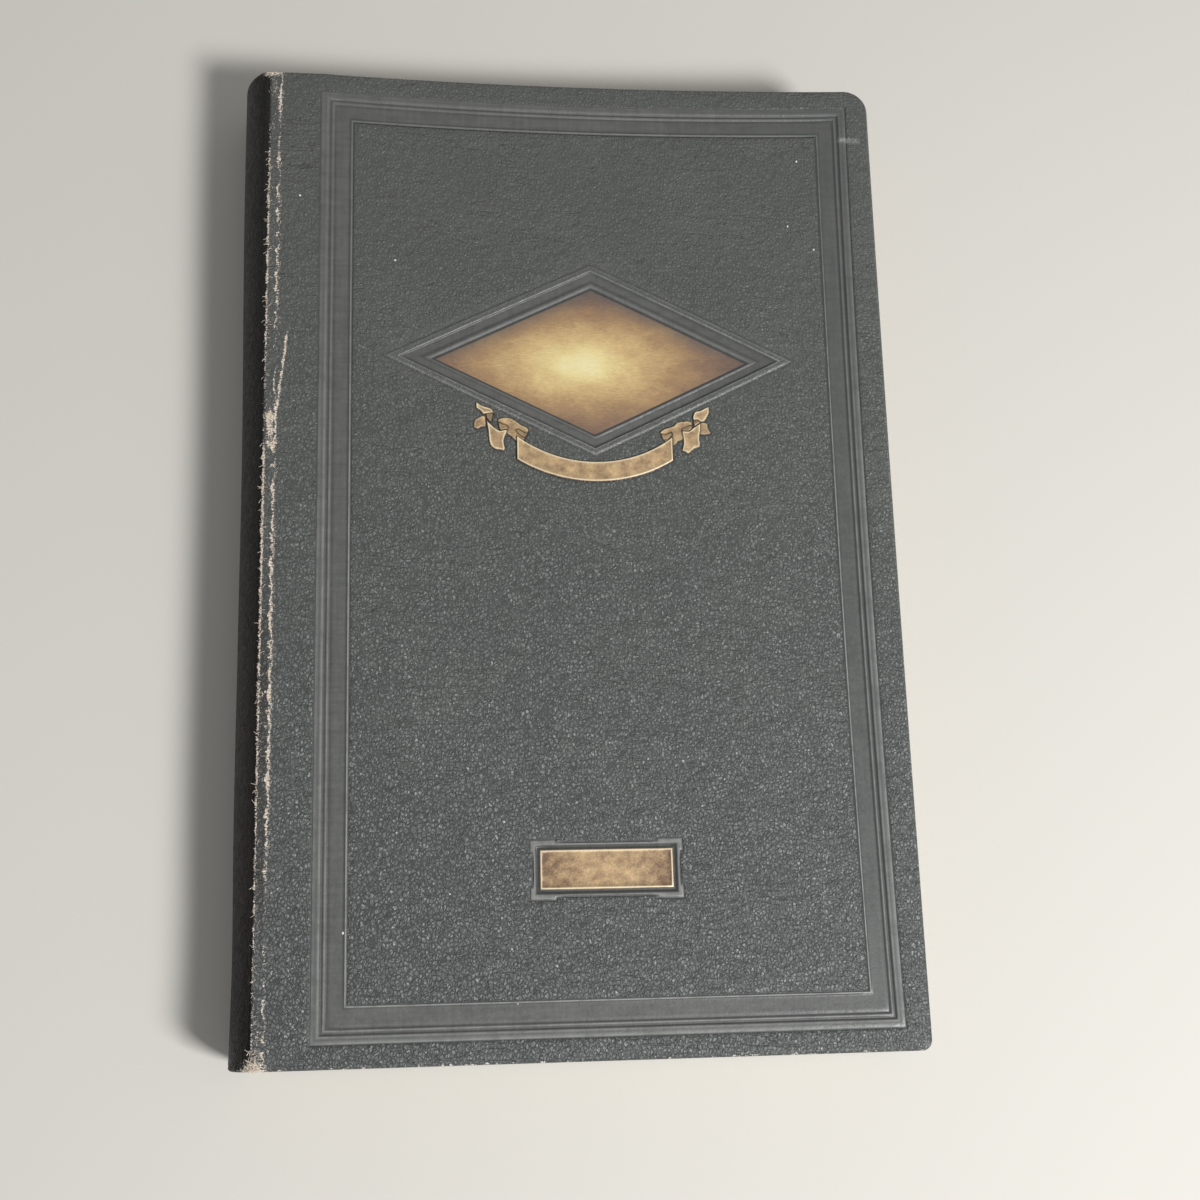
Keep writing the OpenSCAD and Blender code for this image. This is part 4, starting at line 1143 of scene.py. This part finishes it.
def page_block():
    """Pages, with the leaves standing unevenly at the fore-edge, head and tail, and a shoulder at each joint."""
    shell = Shell()
    leaves, nx, ny = 56, 34, 52
    z0, z1 = BOOK_T / 2 - PAGE_HALF_T, BOOK_T / 2 + PAGE_HALF_T

    def drop(x, y, z):
        return float(warp(x, y)) * float(np.clip((z - z0) / (z1 - z0), 0, 1)) if x > SHOULDER_X else 0.0

    def ring(z, groove):
        left, right = leaf_edge(z)
        out = []
        for k in range(nx):
            x = left + (right - left) * k / nx
            out.append((x, PAGE_HALF_H - groove - uneven(x, z, 1)))
        for k in range(ny):
            y = PAGE_HALF_H * (1 - 2 * k / ny)
            out.append((right - groove - uneven(y, z, 2) * (1 if 0 < k else 0), y if k else out[-1][1]))
        for k in range(nx):
            x = right - (right - left) * k / nx
            out.append((x if k else x - groove, -PAGE_HALF_H + groove + uneven(x, z, 3)))
        for k in range(ny):
            out.append((left, -PAGE_HALF_H * (1 - 2 * k / ny) if k else out[-1][1]))
        return [(x, y, z + drop(x, y, z)) for x, y in out + out[:1]]

    def uneven(s, z, seed):
        block = math.floor((z - z0) / 2.6)
        n = noise.noise(Vector((s * 0.02, z * 0.9, seed * 7.1))) + 0.6 * noise.noise(Vector((0.1, block * 3.3, seed)))
        return 0.14 * n + 0.1

    step = (z1 - z0) / leaves
    rings = []
    for k in range(leaves):
        z = z0 + k * step
        if k:
            rings.append(ring(z, 0.07))
        rings.append(ring(z + 0.12 * step if k else z, 0.0))
        rings.append(ring(z + 0.88 * step if k < leaves - 1 else z1, 0.0))
    shell.loft(rings)
    for r in (rings[0], rings[-1]):
        top = r[:-1]
        lines = []
        for j in range(ny + 1):
            a, b = top[(-j) % len(top)], top[nx + j]
            lines.append([tuple(a[c] + (b[c] - a[c]) * i / nx for c in range(3)) for i in range(nx + 1)])
        lines[0] = top[:nx + 1]
        lines[-1] = [top[(2 * nx + ny - i) % len(top)] for i in range(nx + 1)]
        z = top[0][2] - drop(top[0][0], top[0][1], z1 if r is rings[-1] else z0)
        flat = [[(x, y, z + drop(x, y, z)) if 0 < i < nx and 0 < j < ny else (x, y, q)
                 for i, (x, y, q) in enumerate(line)] for j, line in enumerate(lines)]
        shell.loft(flat)
    return shell


shell = page_block()
pages = mesh_object("page_leaves", shell.points, shell.faces, pages_finish)
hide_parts("text_block")
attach(pages, "book_block")

for node, material in (("mull", cloth), ("head_band", band_cloth), ("tail_band", band_cloth), ("spine_inlay", card)):
    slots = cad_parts[node].data.materials
    slots.clear()
    slots.append(material)


# Frayed fibres, band threads and specks

def tree_with(name, **sizes):
    """An empty geometry tree that takes places and named sizes, what adds its nodes, and its inputs."""
    tree = bpy.data.node_groups.new(name, "GeometryNodeTree")
    tree.interface.new_socket("Places", in_out="INPUT", socket_type="NodeSocketGeometry")
    for label, size in sizes.items():
        kind = "NodeSocketInt" if isinstance(size, int) else "NodeSocketFloat"
        tree.interface.new_socket(label, in_out="INPUT", socket_type=kind)
    tree.interface.new_socket("Geometry", in_out="OUTPUT", socket_type="NodeSocketGeometry")
    add = nodes_of(tree)
    return tree, add, add("NodeGroupInput").outputs


def stood_on(tree, add, places, instance, turn, size, material):
    """The tree, with its instance on every place, made real and given its material at the end."""
    placed = add("InstanceOnPoints", {"Points": places, "Instance": instance, "Rotation": turn, "Scale": size})
    solid = add("RealizeInstances", placed)
    add("NodeGroupOutput", add("SetMaterial", {"Geometry": solid, "Material": material}))
    return tree


def fray_tree(material, **sizes):
    """Bent fibres, one on each place, each with a turn and a size of its own."""
    tree, add, given = tree_with("frayed_fibres", **sizes)
    bend = add("CurveQuadraticBezier", {"Resolution": 5, "Start": (0, 0, 0), "Middle": (0.3, 0.08, 0.55),
                                        "End": (0.95, 0.2, 0.4)})
    stalk = add("Transform", {"Geometry": bend, "Scale": given["fibre_length"]})
    section = add("CurvePrimitiveCircle", {"Resolution": 4, "Radius": given["fibre_radius"]})
    fibre = add("CurveToMesh", {"Curve": stalk, "Profile Curve": section, "Fill Caps": True})
    turn = add("FunctionNodeRandomValue", {"Min": (-0.2, -0.2, 0), "Max": (0.2, 0.2, 6.28), "Seed": given["seed"]},
               data_type="FLOAT_VECTOR")
    size = add("FunctionNodeRandomValue", {"Min": 0.4, "Max": 1.3, "Seed": given["seed"]}, data_type="FLOAT")
    return stood_on(tree, add, given["Places"], fibre, turn, size, material)


def winding_tree(material, **sizes):
    """Rings of thread side by side round a cord that follows a path."""
    tree, add, given = tree_with("band_windings", **sizes)
    path = add("MeshToCurve", {"Mesh": given["Places"]})
    path = add("ResampleCurve", {"Curve": path, "Length": given["thread_spacing"]}, mode="LENGTH")
    ring = add("CurvePrimitiveCircle", {"Resolution": 18, "Radius": given["cord_radius"]})
    section = add("CurvePrimitiveCircle", {"Resolution": 6, "Radius": given["thread_radius"]})
    thread = add("CurveToMesh", {"Curve": ring, "Profile Curve": section})
    turn = add("FunctionNodeAlignRotationToVector", add("InputTangent"), axis="Z")
    return stood_on(tree, add, path, thread, turn, (1, 1, 1), material)


def speck_tree(material, **sizes):
    """Flat specks, one on each place, each with a size of its own."""
    tree, add, given = tree_with("whitewash_specks", **sizes)
    ball = add("MeshIcoSphere", {"Radius": given["speck_radius"], "Subdivisions": 2})
    flat = add("Transform", {"Geometry": ball, "Scale": (1.0, 0.8, 0.3)})
    turn = add("FunctionNodeRandomValue", {"Min": (0, 0, 0), "Max": (0, 0, 6.28), "Seed": given["seed"]},
               data_type="FLOAT_VECTOR")
    size = add("FunctionNodeRandomValue", {"Min": 0.5, "Max": 1.1, "Seed": given["seed"]}, data_type="FLOAT")
    return stood_on(tree, add, given["Places"], flat, turn, size, material)


def grown(name, tree, places, joined=False, **sizes):
    """What a tree makes on its places, in millimetres, as a plain mesh in metres."""
    guide = bpy.data.meshes.new(name)
    edges = [(i, i + 1) for i in range(len(places) - 1)] if joined else []
    guide.from_pydata([tuple(float(c) * MM for c in p) for p in places], edges, [])
    piece = put_in_scene(name, guide)
    modifier = piece.modifiers.new("growth", "NODES")
    modifier.node_group = tree
    for item in tree.interface.items_tree:
        if item.name in sizes:
            modifier[item.identifier] = sizes[item.name]
    piece.update_tag()
    mesh = bpy.data.meshes.new_from_object(piece.evaluated_get(bpy.context.evaluated_depsgraph_get()))
    piece.modifiers.clear()
    piece.data = mesh
    work = bmesh.new()
    work.from_mesh(mesh)
    bmesh.ops.recalc_face_normals(work, faces=work.faces)
    work.to_mesh(mesh)
    work.free()
    mesh.shade_smooth()
    return piece


def frayed_places():
    """Places along the worn ridge and crease where fibres of the leather stand up, more where it is more worn."""
    rng = random.Random(7)
    table = np.array(WEAR)
    on_spine, on_cover = [], []
    for _ in range(900):
        y = rng.uniform(1.0 - HALF_H, HALF_H - 1.0)
        ridge, crease, between = (np.interp((y + HALF_H) / (2 * HALF_H), table[:, 0], table[:, k]) for k in (1, 2, 3))
        if rng.random() < 0.3 * ridge:
            x = RIDGE_X + 0.5 + rng.gauss(0, 0.25)
            on_spine.append((x, y))
        if rng.random() < 0.5 * between ** 2:
            on_spine.append((rng.uniform(RIDGE_X + 0.6, SEAM_X - 0.2), y))
        if rng.random() < 0.35 * crease ** 2:
            on_cover.append((CREASE_X + rng.uniform(0.1, 0.6), y))
    for _ in range(70):
        on_spine.append((rng.uniform(RIDGE_X - 0.2, SEAM_X - 0.2), 0.6 - HALF_H + rng.random() ** 2 * 5))
    middle, top = ROUND_X - RIDGE_RUN, BOOK_T - RIDGE_R
    on_spine = [(x, y, top + math.sqrt(RIDGE_R ** 2 - min(x - middle, 0) ** 2) - 0.04) for x, y in on_spine]
    on_cover = [(x, y, BOOK_T + float(warp(x, y)) - 0.04) for x, y in on_cover]
    return on_spine, on_cover


FRAY = dict(fibre_length=0.0011, fibre_radius=0.00005, seed=5)
LOW_FRAY = dict(FRAY, fibre_length=0.0006)      # short enough to fold into the open joint
fibre = fray_tree(matt_finish("bared_leather_fibre", "#f3e9dc", "#b79f82"), **FRAY)
on_spine, on_cover = frayed_places()
for name, places, body, sizes in (("ridge_fray", on_spine, "book_block", FRAY),
                                  ("crease_fray", on_cover, "front_cover", LOW_FRAY)):
    fray = grown(name, fibre, places, **sizes)
    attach(fray, body)

SPECKS = dict(speck_radius=0.00034, seed=3)
speck_places = [(x, y, BOOK_T + float(warp(x, y)) + 0.05) for x, y in (
    (66.9, 112.2), (63.2, 91.8), (70.3, 84.7), (-73.4, 97.1), (-16.8, -120.4), (-33.5, -93.3), (-18.1, -107.2),
    (-60.0, -102.3), (-47.4, 78.7))]
specks = grown("whitewash_specks", speck_tree(matt_finish("dried_whitewash", "#f4f1ea", "#cfc9bc"), **SPECKS),
               speck_places, **SPECKS)
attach(specks, "front_cover")

WINDING = dict(thread_spacing=0.00036, cord_radius=0.00102, thread_radius=0.00019)
winding = winding_tree(matt_finish("linen_band_thread", "#dccba6", "#a98c62"), **WINDING)
BAND_R, BAND_SEAT = 1.0, 0.3
arc = math.asin(PAGE_HALF_T / BACK_R)
for end, side in (("head", 1), ("tail", -1)):
    y = side * (PAGE_HALF_H + BAND_R * (1 - BAND_SEAT))
    path = [(ROUND_X - (BACK_R - BAND_R) * math.cos(a), y, BOOK_T / 2 + (BACK_R - BAND_R) * math.sin(a))
            for a in (arc * (i / 24 - 1) for i in range(49))]
    threads = grown(f"{end}_band_thread", winding, path, joined=True, **WINDING)
    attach(threads, "book_block")


# Floor, light and camera

def stage():
    mesh = bpy.data.meshes.new("floor")
    mesh.from_pydata([(-4, -4, 0), (4, -4, 0), (4, 4, 0), (-4, 4, 0)], [], [(0, 1, 2, 3)])
    mesh.materials.append(surfaced(finish("pale_table_paint")[0], {"Base Color": "#d9d6cf", "Roughness": 0.8}))
    floor = put_in_scene("floor", mesh)


def lamp(name, place, size, power, aim=(0, 0, 0)):
    light = bpy.data.lights.new(name, "AREA")
    light.shape, light.size, light.energy = "SQUARE", size, power
    piece = put_in_scene(name, light)
    piece.location = place
    piece.rotation_euler = (Vector(aim) - Vector(place)).to_track_quat("-Z", "Y").to_euler()


stage()
lamp("window_light", (0.62, -0.55, 0.95), 0.28, 15.0)
world = bpy.data.worlds.new("studio")
world.use_nodes = True
feed(world.node_tree.nodes["Background"], "#ffffff", 0.3)
bpy.context.scene.world = world
bpy.context.scene.view_settings.view_transform = "Standard"

camera = bpy.data.cameras.new("camera")
camera.lens, camera.sensor_width, camera.clip_start = 49.5, 36.0, 0.01
eye = put_in_scene("camera", camera)
right, up = Vector((0.99354, -0.02707, 0.11020)), Vector((0.00083, 0.97284, 0.23148))
eye.matrix_world = Matrix.Translation(Vector((-43.0, -117.75, 450.0)) * MM) @ Matrix(
    (right, up, right.cross(up))).transposed().to_4x4()
bpy.context.scene.camera = eye
